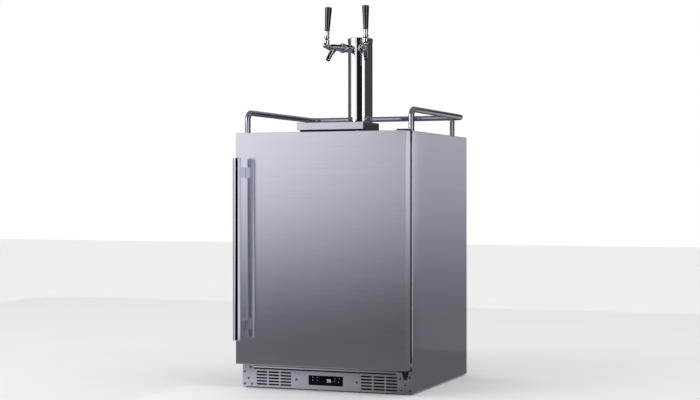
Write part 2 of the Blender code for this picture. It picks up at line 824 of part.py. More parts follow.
def kick_plate():
    """The front grille plate: a low notch along its top shows the crossbar behind it."""
    high = DOOR_LOW - SEAT
    notch = LOW + KICK_NOTCH_H
    left = -HALF + KICK_EAR_LEFT
    right = HALF - KICK_EAR_RIGHT
    outline = [(-HALF + KICK_CORNER, LOW), (HALF, LOW), (HALF, high), (right, high)]
    outline += arc((right - KICK_NOTCH_R, notch + KICK_NOTCH_R), KICK_NOTCH_R, 0, -90, END_ARC_STEPS)
    outline += arc((left + KICK_NOTCH_R, notch + KICK_NOTCH_R), KICK_NOTCH_R, -90, -180, END_ARC_STEPS)
    outline += [(left, high), (-HALF, high), (-HALF, LOW + KICK_CORNER)]
    shape = bmesh.new()
    add_prism(shape, outline, FRONT, FRONT + SHEET, "y")
    plate = finish_piece("kick_plate", shape, BRUSHED, smooth=False)

    holes = bmesh.new()
    front, back = FRONT - OVERRUN, FRONT + SHEET + OVERRUN
    for side in (-1, 1):
        for column in range(VENT_COLUMNS):
            outer = HALF - VENT_INSET - column * VENT_COLUMN_PITCH
            for row in range(VENT_ROWS):
                x = side * (outer - VENT_SLOT_W / 2)
                z = LOW + VENT_ROW_LOW + row * VENT_PITCH
                add_prism(holes, slot_outline(x, z, VENT_SLOT_W, VENT_SLOT_H), front, back, "y")
    low = (-DISPLAY_W / 2 - SEAT, front, LOW + DISPLAY_LOW - SEAT)
    top = (DISPLAY_W / 2 + SEAT, back, LOW + DISPLAY_LOW + DISPLAY_H + SEAT)
    add_box(holes, low, top)
    cut(plate, finish_piece("kick_plate_holes", holes, smooth=False))


def control_unit():
    low_z = LOW + DISPLAY_LOW
    top_z = low_z + DISPLAY_H
    glass_back = FRONT - DISPLAY_PROUD + DISPLAY_GLASS
    shape = bmesh.new()
    low = (-DISPLAY_W / 2, FRONT - DISPLAY_PROUD, low_z)
    add_box(shape, low, (DISPLAY_W / 2, glass_back, top_z))
    finish_piece("display_window", shape, GLOSS_BLACK, smooth=False)

    shape = bmesh.new()
    front = glass_back + SEAT
    low = (-DISPLAY_W / 2 - HOUSING_MARGIN, front, PAN_FLOOR + SEAT)
    high = (DISPLAY_W / 2 + HOUSING_MARGIN, front + HOUSING_DEPTH, top_z + HOUSING_MARGIN)
    add_box(shape, low, high)
    finish_piece("control_housing", shape, BLACK_PLASTIC, smooth=False)


def hinge_brackets():
    """Each bracket is a plate over or under the door that holds its pin, and a leg to the cabinet."""
    right = HALF - HINGE_PLATE_SIDE
    left = right - HINGE_PLATE_W
    front = DOOR_FACE + HINGE_PLATE_FRONT

    leg_back = SHELL_FRONT - SEAT
    low_z = TOP + SEAT
    shape = bmesh.new()
    add_box(shape, (left, front, low_z), (right, leg_back, low_z + HINGE_PLATE))
    upper = finish_piece("hinge_bracket_upper", shape, BLACK_STEEL, smooth=False)
    leg = bmesh.new()
    add_box(
        leg,
        (right - HINGE_LEG_W, leg_back - HINGE_PLATE, TOP - HINGE_LEG_H),
        (right, leg_back, low_z + HINGE_PLATE),
    )
    fuse(upper, finish_piece("hinge_bracket_upper_leg", leg, smooth=False))
    pin = bmesh.new()
    low = (HINGE_X, HINGE_Y, TOP - HINGE_PIN_REACH)
    add_peg(pin, low, (HINGE_X, HINGE_Y, low_z + HINGE_PLATE / 2), HINGE_PIN_R)
    fuse(upper, finish_piece("hinge_bracket_upper_pin", pin))

    leg_back = FRONT - SEAT
    top_z = DOOR_LOW - SEAT
    shape = bmesh.new()
    add_box(shape, (left, front, top_z - HINGE_PLATE), (right, leg_back, top_z))
    lower = finish_piece("hinge_bracket_lower", shape, BLACK_STEEL, smooth=False)
    gusset = bmesh.new()
    foot = left + GUSSET_SIDE
    outline = (
        (left, top_z),
        (right - GUSSET_SIDE, top_z),
        (foot + GUSSET_FOOT_W, top_z - GUSSET_DROP),
        (foot, top_z - GUSSET_DROP),
    )
    add_prism(gusset, outline, leg_back - HINGE_PLATE, leg_back, "y")
    fuse(lower, finish_piece("hinge_bracket_lower_gusset", gusset, smooth=False))
    pin = bmesh.new()
    low = (HINGE_X, HINGE_Y, top_z - HINGE_PLATE / 2)
    add_peg(pin, low, (HINGE_X, HINGE_Y, DOOR_LOW + HINGE_PIN_REACH), HINGE_PIN_R)
    fuse(lower, finish_piece("hinge_bracket_lower_pin", pin))


def foot_places():
    x = HALF - FOOT_INSET_SIDE
    front = FRONT + FOOT_INSET_FRONT
    back = BACK - FOOT_INSET_BACK
    return (
        ("front_left", -x, front),
        ("front_right", x, front),
        ("rear_left", -x, back),
        ("rear_right", x, back),
    )


def levelling_feet():
    for name, x, y in foot_places():
        pad = LOW - SEAT
        shape = bmesh.new()
        profile = (
            (0, 0),
            (FOOT_PAD_R, 0),
            (FOOT_PAD_R, pad),
            (FOOT_STUD_R, pad),
            (FOOT_STUD_R, pad + FOOT_STUD_LENGTH),
            (0, pad + FOOT_STUD_LENGTH),
        )
        add_turned(shape, profile, ROUND_STEPS, Matrix.Translation((x, y, 0)))
        foot = finish_piece("levelling_foot_" + name, shape, BLACK_PLASTIC)
        hang_on("levelling_axis_" + name, (x, y, LOW), [foot])


# The door


def hinge_pin_holes(name):
    shape = bmesh.new()
    radius = HINGE_PIN_R + RUN
    depth = HINGE_PIN_REACH + RUN
    add_peg(shape, (HINGE_X, HINGE_Y, DOOR_LOW - OVERRUN), (HINGE_X, HINGE_Y, DOOR_LOW + depth), radius)
    add_peg(shape, (HINGE_X, HINGE_Y, TOP - depth), (HINGE_X, HINGE_Y, TOP + OVERRUN), radius)
    return finish_piece(name, shape)


def door():
    shape = bmesh.new()
    add_box(shape, (-HALF, DOOR_FACE, DOOR_LOW), (DOOR_RIGHT, DOOR_BACK, TOP))
    skin = finish_piece("door_skin", shape, BRUSHED)
    round_edges(skin, EDGE_ROUND)
    hollow = bmesh.new()
    inner = HALF - DOOR_SHEET
    low = (-inner, DOOR_FACE + DOOR_SHEET, DOOR_LOW + DOOR_SHEET)
    add_box(hollow, low, (DOOR_RIGHT - DOOR_SHEET, DOOR_BACK + OVERRUN, TOP - DOOR_SHEET))
    cut(skin, finish_piece("door_skin_hollow", hollow, smooth=False))
    cut(skin, hinge_pin_holes("door_skin_holes"))

    inner = HALF - DOOR_SHEET - SEAT
    right = DOOR_RIGHT - DOOR_SHEET - SEAT
    low_z = DOOR_LOW + DOOR_SHEET + SEAT
    top_z = TOP - DOOR_SHEET - SEAT
    liner_front = DOOR_BACK - DOOR_LINER
    shape = bmesh.new()
    low = (-inner, DOOR_FACE + DOOR_SHEET + SEAT, low_z)
    add_box(shape, low, (right, liner_front - SEAT, top_z))
    foam = finish_piece("door_foam", shape, FOAM, smooth=False)
    cut(foam, hinge_pin_holes("door_foam_holes"))

    shape = bmesh.new()
    add_box(shape, (-inner, liner_front, low_z), (right, DOOR_BACK, top_z))
    liner = finish_piece("door_liner", shape, WHITE_PLASTIC, smooth=False)
    dike = bmesh.new()
    x = HALF - DOOR_DIKE_INSET
    low = (-x, liner_front + DOOR_LINER / 2, DOOR_LOW + DOOR_DIKE_INSET)
    add_box(dike, low, (x, DOOR_BACK + DOOR_DIKE_H, TOP - DOOR_DIKE_INSET))
    fuse(liner, finish_piece("door_liner_dike", dike, smooth=False))

    outer = HALF - GASKET_INSET
    inner = outer - GASKET_W
    shape = bmesh.new()
    low = (-outer, DOOR_BACK + SEAT, DOOR_LOW + GASKET_INSET)
    add_box(shape, low, (outer, SHELL_FRONT - SEAT, TOP - GASKET_INSET))
    gasket = finish_piece("door_gasket", shape, RUBBER, smooth=False)
    window = bmesh.new()
    low = (-inner, DOOR_BACK - OVERRUN, DOOR_LOW + GASKET_INSET + GASKET_W)
    add_box(window, low, (inner, SHELL_FRONT + OVERRUN, TOP - GASKET_INSET - GASKET_W))
    cut(gasket, finish_piece("door_gasket_window", window, smooth=False))

    shape = bmesh.new()
    profile = (
        (0, GRIP_LOW),
        (HANDLE_R - EDGE_ROUND, GRIP_LOW),
        (HANDLE_R, GRIP_LOW + EDGE_ROUND),
        (HANDLE_R, GRIP_TOP - EDGE_ROUND),
        (HANDLE_R - EDGE_ROUND, GRIP_TOP),
        (0, GRIP_TOP),
    )
    add_turned(shape, profile, ROUND_STEPS, Matrix.Translation((GRIP_X, GRIP_Y, 0)))
    handle = finish_piece("door_handle", shape, POLISHED)
    shape = bmesh.new()
    for middle in (GRIP_LOW + HANDLE_POST_FROM_END, GRIP_TOP - HANDLE_POST_FROM_END):
        low = (GRIP_X - HANDLE_POST_W / 2, GRIP_Y, middle - HANDLE_POST_H / 2)
        high = (GRIP_X + HANDLE_POST_W / 2, DOOR_FACE - SEAT, middle + HANDLE_POST_H / 2)
        add_box(shape, low, high)
    fuse(handle, finish_piece("door_handle_posts", shape, smooth=False))

    pieces = [skin, foam, liner, gasket, handle]
    hang_on("door_axis", (HINGE_X, HINGE_Y, DOOR_LOW), pieces)


# Guard rail and drip tray


def rail_route():
    """The bent tube's axis: up at the front left, back, across behind and forward again."""
    x = HALF - RAIL_INSET_X
    front = FRONT + RAIL_FRONT_Y
    back = BACK - RAIL_BACK_INSET
    foot = TOP + SEAT
    z = TOP + RAIL_HEIGHT
    right = [(x, front, foot)]
    bend = RAIL_FRONT_BEND
    for along, up in arc((front + bend, z - bend), bend, 180, 90, BEND_STEPS):
        right.append((x, along, up))
    for across, along in arc((x - RAIL_CORNER, back - RAIL_CORNER), RAIL_CORNER, 0, 90, BEND_STEPS):
        right.append((across, along, z))
    left = [(-across, along, up) for across, along, up in reversed(right)]
    return right + left


def guard_rail():
    route = rail_route()
    shape = bmesh.new()
    sweep(shape, route, RAIL_R, SMALL_STEPS)
    rail = finish_piece("guard_rail", shape, POLISHED)
    posts = bmesh.new()
    back = BACK - RAIL_BACK_INSET
    for side in (-1, 1):
        x = side * RAIL_REAR_POST_X
        add_peg(posts, (x, back, TOP + SEAT), (x, back, TOP + RAIL_HEIGHT), RAIL_REAR_POST_R, SMALL_STEPS)
    fuse(rail, finish_piece("guard_rail_rear_posts", posts))


def sweep(shape, route, radius, steps):
    """A round tube along a route, each ring square to the bisector of its bend."""
    points = [Vector(point) for point in route]
    rings = []
    side = None
    for i, point in enumerate(points):
        before = points[i] - points[i - 1] if i else points[1] - points[0]
        after = points[i + 1] - points[i] if i + 1 < len(points) else before
        along = (before.normalized() + after.normalized()).normalized()
        if side is None:
            side = along.orthogonal().normalized()
        side = (side - along * side.dot(along)).normalized()
        up = along.cross(side)
        stretch = 1 / math.cos(before.angle(after) / 2)
        fold = before.cross(after)
        ring = []
        for k in range(steps):
            turn = 2 * math.pi * k / steps
            spoke = side * math.cos(turn) + up * math.sin(turn)
            if fold.length > 0:
                flat = fold.normalized().cross(along)
                spoke += flat * spoke.dot(flat) * (stretch - 1)
            ring.append(shape.verts.new(point + spoke * radius))
        rings.append(ring)
    for one, two in zip(rings, rings[1:]):
        for k in range(steps):
            j = (k + 1) % steps
            shape.faces.new((one[k], one[j], two[j], two[k]))
    shape.faces.new(rings[0][::-1])
    shape.faces.new(rings[-1])


def drip_tray():
    front = FRONT + TRAY_FRONT
    back = front + TRAY_DEPTH
    low_z = TOP + TRAY_LIFT
    top_z = low_z + TRAY_HEIGHT
    shape = bmesh.new()
    add_box(shape, (-TRAY_HALF_W, front, low_z), (TRAY_HALF_W, back, top_z))
    tray = finish_piece("drip_tray", shape, BRUSHED)
    round_edges(tray, TRAY_EDGE, 1)
    hollow = bmesh.new()
    low = (-TRAY_HALF_W + TRAY_WALL, front + TRAY_WALL, low_z + TRAY_WALL)
    high = (TRAY_HALF_W - TRAY_WALL, back - TRAY_WALL, top_z + OVERRUN)
    add_box(hollow, low, high)
    cut(tray, finish_piece("drip_tray_hollow", hollow, smooth=False))

    x = TRAY_HALF_W - TRAY_PLINTH_INSET
    shape = bmesh.new()
    low = (-x, front + TRAY_PLINTH_INSET, TOP + SEAT)
    add_box(shape, low, (x, back - TRAY_PLINTH_INSET, low_z - SEAT))
    plinth = finish_piece("drip_tray_plinth", shape, RUBBER, smooth=False)

    face = top_z - GRILLE_DROP
    x = TRAY_HALF_W - TRAY_WALL - RUN
    y0 = front + TRAY_WALL + RUN
    y1 = back - TRAY_WALL - RUN
    foot = low_z + TRAY_WALL + SEAT
    outline = (
        (y0, foot),
        (y0 + GRILLE_SHEET, foot),
        (y0 + GRILLE_SHEET, face - GRILLE_SHEET),
        (y1 - GRILLE_SHEET, face - GRILLE_SHEET),
        (y1 - GRILLE_SHEET, foot),
        (y1, foot),
        (y1, face),
        (y0, face),
    )
    shape = bmesh.new()
    add_prism(shape, outline, -x, x, "x")
    grille = finish_piece("drip_grille", shape, BRUSHED, smooth=False)
    slots = bmesh.new()
    for column in range(GRILLE_SLOT_COLUMNS):
        for row in range(GRILLE_SLOT_ROWS):
            middle_x = (column - (GRILLE_SLOT_COLUMNS - 1) / 2) * GRILLE_SLOT_PITCH_X
            middle_y = (front + back) / 2 + (row - (GRILLE_SLOT_ROWS - 1) / 2) * GRILLE_SLOT_PITCH_Y
            low = (middle_x - GRILLE_SLOT_W / 2, middle_y - GRILLE_SLOT_H / 2, face - GRILLE_SHEET - OVERRUN)
            high = (middle_x + GRILLE_SLOT_W / 2, middle_y + GRILLE_SLOT_H / 2, face + OVERRUN)
            add_box(slots, low, high)
    cut(grille, finish_piece("drip_grille_slots", slots, smooth=False))

    middle = (0, (front + back) / 2, low_z)
    lift = hang_on("drip_tray_lift", middle, [tray, plinth])
    grille_lift = hang_on("drip_grille_lift", (0, (front + back) / 2, face), [grille])
    grille_lift.parent = lift
    grille_lift.matrix_parent_inverse = Matrix.Translation(-Vector(middle))


# The tower and its taps


def tap_direction(side):
    turn = math.radians(TAP_ANGLE_DEG)
    return Vector((side * math.sin(turn), -math.cos(turn), 0))


def tap_point(side, out, rise):
    """A point at a distance out along a tap, and a rise above its centre line."""
    return Vector((0, TOWER_AXIS_Y, TAP_Z + rise)) + tap_direction(side) * out


def tower():
    inner = TOWER_R - TOWER_WALL
    shape = bmesh.new()
    profile = (
        (inner, TOWER_FOOT),
        (FLANGE_R, TOWER_FOOT),
        (FLANGE_R, TOWER_FOOT + FLANGE_T),
        (TOWER_R, TOWER_FOOT + FLANGE_T),
        (TOWER_R, COLUMN_TOP),
        (inner, COLUMN_TOP),
    )
    place = Matrix.Translation((0, TOWER_AXIS_Y, 0))
    add_turned(shape, profile, FINE_STEPS, place)
    column = finish_piece("tower_column", shape, CHROME)
    holes = bmesh.new()
    for _, side in TAP_SIDES:
        start = tap_point(side, inner - OVERRUN - OVERRUN, 0)
        add_peg(holes, start, tap_point(side, TOWER_R + OVERRUN, 0), SHANK_R + SEAT)
    cut(column, finish_piece("tower_column_holes", holes))

    shape = bmesh.new()
    rim = TOWER_R + CAP_OVERHANG
    plug = inner - SEAT
    base = COLUMN_TOP + SEAT
    profile = (
        (0, base - CAP_PLUG),
        (plug, base - CAP_PLUG),
        (plug, base),
        (rim, base),
        (rim, TOWER_TOP - CAP_ROUND),
        (rim - CAP_ROUND / 3, TOWER_TOP - CAP_ROUND / 3),
        (rim - CAP_ROUND, TOWER_TOP),
        (0, TOWER_TOP),
    )
    add_turned(shape, profile, FINE_STEPS, place)
    finish_piece("tower_cap", shape, CHROME)


def tap_shanks():
    """Threaded tubes through the column's wall, each with a nut and an elbow down to its hose."""
    for name, side in TAP_SIDES:
        label = "tap_shank_" + name
        frame = aim(tap_point(side, 0, 0), tap_direction(side))
        profile = (
            (SHANK_FLOW_R, SHANK_INNER),
            (SHANK_R, SHANK_INNER),
            (SHANK_R, TOWER_R + SEAT),
            (SHANK_COLLAR_R, TOWER_R + SEAT),
            (SHANK_COLLAR_R, SHANK_COLLAR_END),
            (SHANK_NECK_R, SHANK_COLLAR_END),
            (SHANK_NECK_R, SHANK_END),
            (SHANK_BORE_R, SHANK_END),
            (SHANK_BORE_R, SHANK_BORE_START),
            (SHANK_FLOW_R, SHANK_BORE_START),
        )
        shape = bmesh.new()
        add_turned(shape, profile, ROUND_STEPS, frame)
        shank = finish_piece(label, shape, CHROME)
        nut = bmesh.new()
        wall = (SHANK_FLOW_R + SHANK_R) / 2
        nut_end = SHANK_NUT_AT + SHANK_NUT_T
        profile = ((wall, SHANK_NUT_AT), (SHANK_NUT_R, SHANK_NUT_AT), (SHANK_NUT_R, nut_end), (wall, nut_end))
        add_turned(nut, profile, HEX, frame)
        fuse(shank, finish_piece(label + "_nut", nut, smooth=False))
        elbow = bmesh.new()
        low = tap_point(side, SHANK_INNER, -BARB_DROP)
        add_peg(elbow, low, tap_point(side, SHANK_INNER, ELBOW_R), BARB_R, SMALL_STEPS, ELBOW_R)
        fuse(shank, finish_piece(label + "_elbow", elbow))


def coupling_nuts():
    """Grooved ring nuts that pull each faucet onto its shank."""
    inner = SHANK_NECK_R + SEAT
    seat = SHANK_END + SEAT + SEAT
    pocket = BODY_FLANGE_R + SEAT
    lip = seat + BODY_FLANGE_T + SEAT
    mouth = BODY_BACK_R + SEAT
    profile = (
        (inner, NUT_START),
        (NUT_R, NUT_START),
        (NUT_R, NUT_END),
        (mouth, NUT_END),
        (mouth, lip),
        (pocket, lip),
        (pocket, seat),
        (inner, seat),
    )
    for name, side in TAP_SIDES:
        shape = bmesh.new()
        frame = aim(tap_point(side, 0, 0), tap_direction(side))
        add_grooved_ring(shape, profile, NUT_LOBES, NUT_GROOVE, frame)
        finish_piece("coupling_nut_" + name, shape, CHROME)


def add_grooved_ring(shape, profile, lobes, groove, frame):
    """Turn a profile whose second and third points, the outer face, carry grooves."""
    steps = lobes * 2
    rings = []
    for k, (radius, height) in enumerate(profile):
        ring = []
        for i in range(steps):
            turn = 2 * math.pi * i / steps
            reach = radius - (groove if k in (1, 2) and i % 2 else 0)
            spot = Vector((reach * math.cos(turn), reach * math.sin(turn), height))
            ring.append(shape.verts.new(frame @ spot))
        rings.append(ring)
    for one, two in zip(rings, rings[1:] + rings[:1]):
        for i in range(steps):
            j = (i + 1) % steps
            shape.faces.new((one[i], two[i], two[j], one[j]))


def faucet_bodies():
    for name, side in TAP_SIDES:
        label = "faucet_body_" + name
        back = SHANK_END + SEAT + SEAT + SEAT
        frame = aim(tap_point(side, 0, 0), tap_direction(side))
        profile = (
            (0, back),
            (BODY_FLANGE_R, back),
            (BODY_FLANGE_R, back + BODY_FLANGE_T - SEAT),
            (BODY_BACK_R, back + BODY_FLANGE_T - SEAT),
            (BODY_BACK_R, NUT_END),
            (BODY_FRONT_R, BODY_FRONT_AT),
            (BODY_TIP_R, BODY_TIP_AT),
            (0, BODY_TIP_AT),
        )
        shape = bmesh.new()
        add_turned(shape, profile, ROUND_STEPS, frame)
        body = finish_piece(label, shape, CHROME)

        limb = bmesh.new()
        foot = tap_point(side, LIMB_AT, LIMB_RISE)
        add_peg(limb, foot, tap_point(side, HEAD_AT, HEAD_RISE), LIMB_R, ROUND_STEPS, HEAD_R)
        fuse(body, finish_piece(label + "_limb", limb), "MANIFOLD")
        head = bmesh.new()
        add_ball(head, tap_point(side, HEAD_AT, HEAD_RISE), HEAD_R)
        fuse(body, finish_piece(label + "_head", head), "MANIFOLD")

        neck = bmesh.new()
        top = PIVOT_RISE - NECK_TOP_BELOW_PIVOT
        add_peg(neck, tap_point(side, LEVER_AT, NECK_FOOT_RISE), tap_point(side, LEVER_AT, top), NECK_R)
        fuse(body, finish_piece(label + "_neck", neck), "MANIFOLD")

        spout = bmesh.new()
        tip = tap_point(side, SPOUT_TIP_AT, SPOUT_TIP_RISE)
        root = tap_point(side, SPOUT_TOP_AT, SPOUT_TOP_RISE)
        add_peg(spout, root, tip, SPOUT_TOP_R, ROUND_STEPS, SPOUT_TIP_R)
        fuse(body, finish_piece(label + "_spout", spout), "MANIFOLD")

        bonnet = bmesh.new()
        low = PIVOT_RISE - BONNET_BELOW
        high = PIVOT_RISE + BONNET_ABOVE
        profile = (
            (0, low),
            (BONNET_R, low),
            (BONNET_R, high - EDGE_ROUND),
            (BONNET_R - EDGE_ROUND, high),
            (0, high),
        )
        upright = Matrix.Translation(tap_point(side, LEVER_AT, 0))
        add_turned(bonnet, profile, ROUND_STEPS, upright)
        fuse(body, finish_piece(label + "_bonnet", bonnet), "MANIFOLD")

        bores = bmesh.new()
        start = tap_point(side, back - OVERRUN, 0)
        add_peg(bores, start, tap_point(side, SHAFT_FRONT_AT + RUN, 0), VALVE_BORE_R, SMALL_STEPS)
        cut(body, finish_piece(label + "_bore", bores), "MANIFOLD")
        socket = bmesh.new()
        inner = BALL_R + BALL_SOCKET_GAP
        profile = (
            (0, CHAMBER_FLOOR),
            (CHAMBER_R, CHAMBER_FLOOR),
            (CHAMBER_R, CHAMBER_TOP),
            (inner, PIVOT_RISE - BALL_R / 2),
            (inner, PIVOT_RISE),
            (BONNET_MOUTH_R, high),
            (BONNET_MOUTH_R, high + OVERRUN),
            (0, high + OVERRUN),
        )
        add_turned(socket, profile, ROUND_STEPS, upright)
        cut(body, finish_piece(label + "_socket", socket), "MANIFOLD")
        mouth = bmesh.new()
        down = (tip - root).normalized()
        start = tip - down * SPOUT_BORE_DEPTH
        add_peg(mouth, start, tip + down * OVERRUN, SPOUT_BORE_R, SMALL_STEPS)
        cut(body, finish_piece(label + "_mouth", mouth), "MANIFOLD")


def tap_levers():
    for name, side in TAP_SIDES:
        pivot = tap_point(side, LEVER_AT, PIVOT_RISE)
        out = tap_direction(side)
        lean = Matrix.Rotation(-math.radians(TAP_LEVER_LEAN_DEG), 4, Vector((-out.y, out.x, 0)))
        place = Matrix.Translation(pivot) @ lean
        shape = bmesh.new()
        add_ball(shape, pivot, BALL_R)
        lever = finish_piece("tap_lever_" + name, shape, CHROME)
        stem = bmesh.new()
        profile = (
            (0, -FINGER_REACH),
            (FINGER_R, -FINGER_REACH),
            (FINGER_R, -BALL_R / 2),
            (STEM_R, 0),
            (STEM_R, COLLAR_FROM),
            (COLLAR_R, COLLAR_FROM),
            (COLLAR_R, COLLAR_TO),
            (FERRULE_R, COLLAR_TO),
            (FERRULE_R, FERRULE_TO),
            (0, FERRULE_TO),
        )
        add_turned(stem, profile, ROUND_STEPS, place)
        fuse(lever, finish_piece("tap_lever_%s_stem" % name, stem))

        shape = bmesh.new()
        base = FERRULE_TO + SEAT
        profile = (
            (0, base),
            (TAP_HANDLE_LOW_R, base),
            (TAP_HANDLE_TOP_R, HANDLE_TO - TAP_HANDLE_ROUND),
            (TAP_HANDLE_TOP_R - TAP_HANDLE_ROUND / 3, HANDLE_TO - TAP_HANDLE_ROUND / 3),
            (TAP_HANDLE_TOP_R - TAP_HANDLE_ROUND, HANDLE_TO),
            (0, HANDLE_TO),
        )
        add_turned(shape, profile, ROUND_STEPS, place)
        grip = finish_piece("tap_handle_" + name, shape, GLOSS_BLACK)
        hang_on("tap_pivot_" + name, pivot, [lever, grip])


def valve_shafts():
    """Each rod is drawn back off its seat by the lever's finger, which sits in its slot."""
    for name, side in TAP_SIDES:
        frame = aim(tap_point(side, 0, 0), tap_direction(side))
        seal_end = SHAFT_BACK_AT + SHAFT_SEAL_T
        profile = (
            (0, SHAFT_BACK_AT),
            (SHAFT_SEAL_R, SHAFT_BACK_AT),
            (SHAFT_SEAL_R, seal_end),
            (SHAFT_R, seal_end),
            (SHAFT_R, SHAFT_FRONT_AT),
            (0, SHAFT_FRONT_AT),
        )
        shape = bmesh.new()
        add_turned(shape, profile, SMALL_STEPS, frame)
        shaft = finish_piece("valve_shaft_" + name, shape, POLISHED)
        slot = bmesh.new()
        add_peg(
            slot,
            tap_point(side, LEVER_AT, SHAFT_R - SHAFT_SLOT_DEPTH),
            tap_point(side, LEVER_AT, SHAFT_R + OVERRUN),
            SHAFT_SLOT_HALF,
            SMALL_STEPS,
        )
        cut(shaft, finish_piece("valve_shaft_%s_slot" % name, slot))
        hang_on("valve_axis_" + name, tap_point(side, SHAFT_BACK_AT, 0), [shaft])


# Inside the cabinet


def keg_floor_plate():
    shape = bmesh.new()
    x = LINER_HALF - FLOOR_PLATE_INSET
    low = (-x, SHELL_FRONT + FLOOR_PLATE_INSET, LINER_FLOOR + SEAT)
    add_box(shape, low, (x, HUMP_FRONT - FLOOR_PLATE_INSET, LINER_FLOOR + SEAT + FLOOR_PLATE_T))
    finish_piece("keg_floor_plate", shape, BRUSHED, smooth=False)


def cylinder_place():
    """Middle of the gas cylinder's foot and the height of its neck."""
    y = LINER_BACK - CYLINDER_FROM_WALL - CYLINDER_R
    neck = HUMP_TOP + SEAT + CYLINDER_BODY_H
    return CYLINDER_X, y, neck


def gas_cylinder():
    x, y, neck = cylinder_place()
    base = HUMP_TOP + SEAT
    shoulder = neck - CYLINDER_SHOULDER
    shape = bmesh.new()
    profile = [(0, base), (CYLINDER_R - CAP_ROUND, base), (CYLINDER_R, base + CAP_ROUND)]
    for i in range(5):
        turn = math.radians(90 * i / 5)
        around = CYLINDER_NECK_R + (CYLINDER_R - CYLINDER_NECK_R) * math.cos(turn)
        profile.append((around, shoulder + CYLINDER_SHOULDER * math.sin(turn)))
    profile += [(CYLINDER_NECK_R, neck), (CYLINDER_NECK_R, neck + OVERRUN), (0, neck + OVERRUN)]
    add_turned(shape, profile, ROUND_STEPS, Matrix.Translation((x, y, 0)))
    cylinder = finish_piece("gas_cylinder", shape, ALUMINIUM)
    block = bmesh.new()
    half = VALVE_BLOCK_W / 2
    add_box(block, (x - half, y - half, neck), (x + half, y + half, neck + VALVE_BLOCK_H))
    fuse(cylinder, finish_piece("gas_cylinder_valve", block, smooth=False))
    spindle = bmesh.new()
    top = neck + VALVE_BLOCK_H
    add_peg(spindle, (x, y, top - OVERRUN), (x, y, top + VALVE_STEM_H), VALVE_STEM_R, SMALL_STEPS)
    fuse(cylinder, finish_piece("gas_cylinder_spindle", spindle))

    shape = bmesh.new()
    low = top + SEAT
    profile = (
        (VALVE_STEM_R + RUN, low),
        (WHEEL_R, low),
        (WHEEL_R, low + WHEEL_T),
        (VALVE_STEM_R + RUN, low + WHEEL_T),
    )
    add_grooved_ring(shape, profile, WHEEL_LOBES, WHEEL_GROOVE, Matrix.Translation((x, y, 0)))
    wheel = finish_piece("cylinder_handwheel", shape, BLACK_PLASTIC)
    hang_on("handwheel_axis", (x, y, low), [wheel])


def regulator_place():
    x, y, neck = cylinder_place()
    middle_x = x + VALVE_BLOCK_W / 2 + REG_ARM + REG_BODY_R
    return middle_x, y, neck + VALVE_BLOCK_H / 2


def regulator():
    x, y, z = regulator_place()
    front = y - REG_BODY_H / 2
    shape = bmesh.new()
    add_peg(shape, (x, front + REG_BODY_H, z), (x, front, z), REG_BODY_R)
    body = finish_piece("regulator", shape, BRASS)
    nipples = bmesh.new()
    valve_side = cylinder_place()[0] + VALVE_BLOCK_W / 2 + SEAT
    add_peg(nipples, (valve_side, y, z), (x, y, z), REG_NIPPLE_R, SMALL_STEPS)
    fuse(body, finish_piece("regulator_nipple", nipples))
    gauges = bmesh.new()
    gauge_z = z + REG_BODY_R + GAUGE_STALK + GAUGE_R
    gauge_x = x + REG_BODY_R + GAUGE_STALK + GAUGE_R
    add_peg(gauges, (x, y + GAUGE_T / 2, gauge_z), (x, y - GAUGE_T / 2, gauge_z), GAUGE_R)
    add_peg(gauges, (gauge_x, y + GAUGE_T / 2, z), (gauge_x, y - GAUGE_T / 2, z), GAUGE_R)
    fuse(body, finish_piece("regulator_gauges", gauges))
    stalks = bmesh.new()
    add_peg(stalks, (x, y, z), (x, y, gauge_z - GAUGE_R / 2), GAUGE_STALK_R, SMALL_STEPS)
    fuse(body, finish_piece("regulator_stalk_up", stalks))
    stalks = bmesh.new()
    add_peg(stalks, (x, y, z), (gauge_x - GAUGE_R / 2, y, z), GAUGE_STALK_R, SMALL_STEPS)
    fuse(body, finish_piece("regulator_stalk_side", stalks))
    outlets = bmesh.new()
    bottom = z - REG_BODY_R - OUTLET_L
    for side in (-1, 1):
        start = Vector((x + OUTLET_ASIDE, y + side * OUTLET_SPREAD, bottom))
        end = start + Vector((0, 0, OUTLET_L + REG_BODY_R / 2))
        add_peg(outlets, start, end, OUTLET_R, SMALL_STEPS)
    fuse(body, finish_piece("regulator_outlets", outlets))
    screw = bmesh.new()
    add_peg(screw, (x, front + OVERRUN, z), (x, front - KNOB_H, z), KNOB_SCREW_R, SMALL_STEPS)
    fuse(body, finish_piece("regulator_screw", screw))

    shape = bmesh.new()
    start = SEAT + SEAT
    profile = (
        (KNOB_SCREW_R + RUN, start),
        (KNOB_R, start),
        (KNOB_R, KNOB_H),
        (KNOB_SCREW_R + RUN, KNOB_H),
    )
    add_turned(shape, profile, ROUND_STEPS, aim((x, front, z), (0, -1, 0)))
    knob = finish_piece("regulator_knob", shape, BLACK_PLASTIC)
    hang_on("knob_axis", (x, front, z), [knob])


def coupler_y():
    return HUMP_FRONT + COUPLER_FROM_HUMP


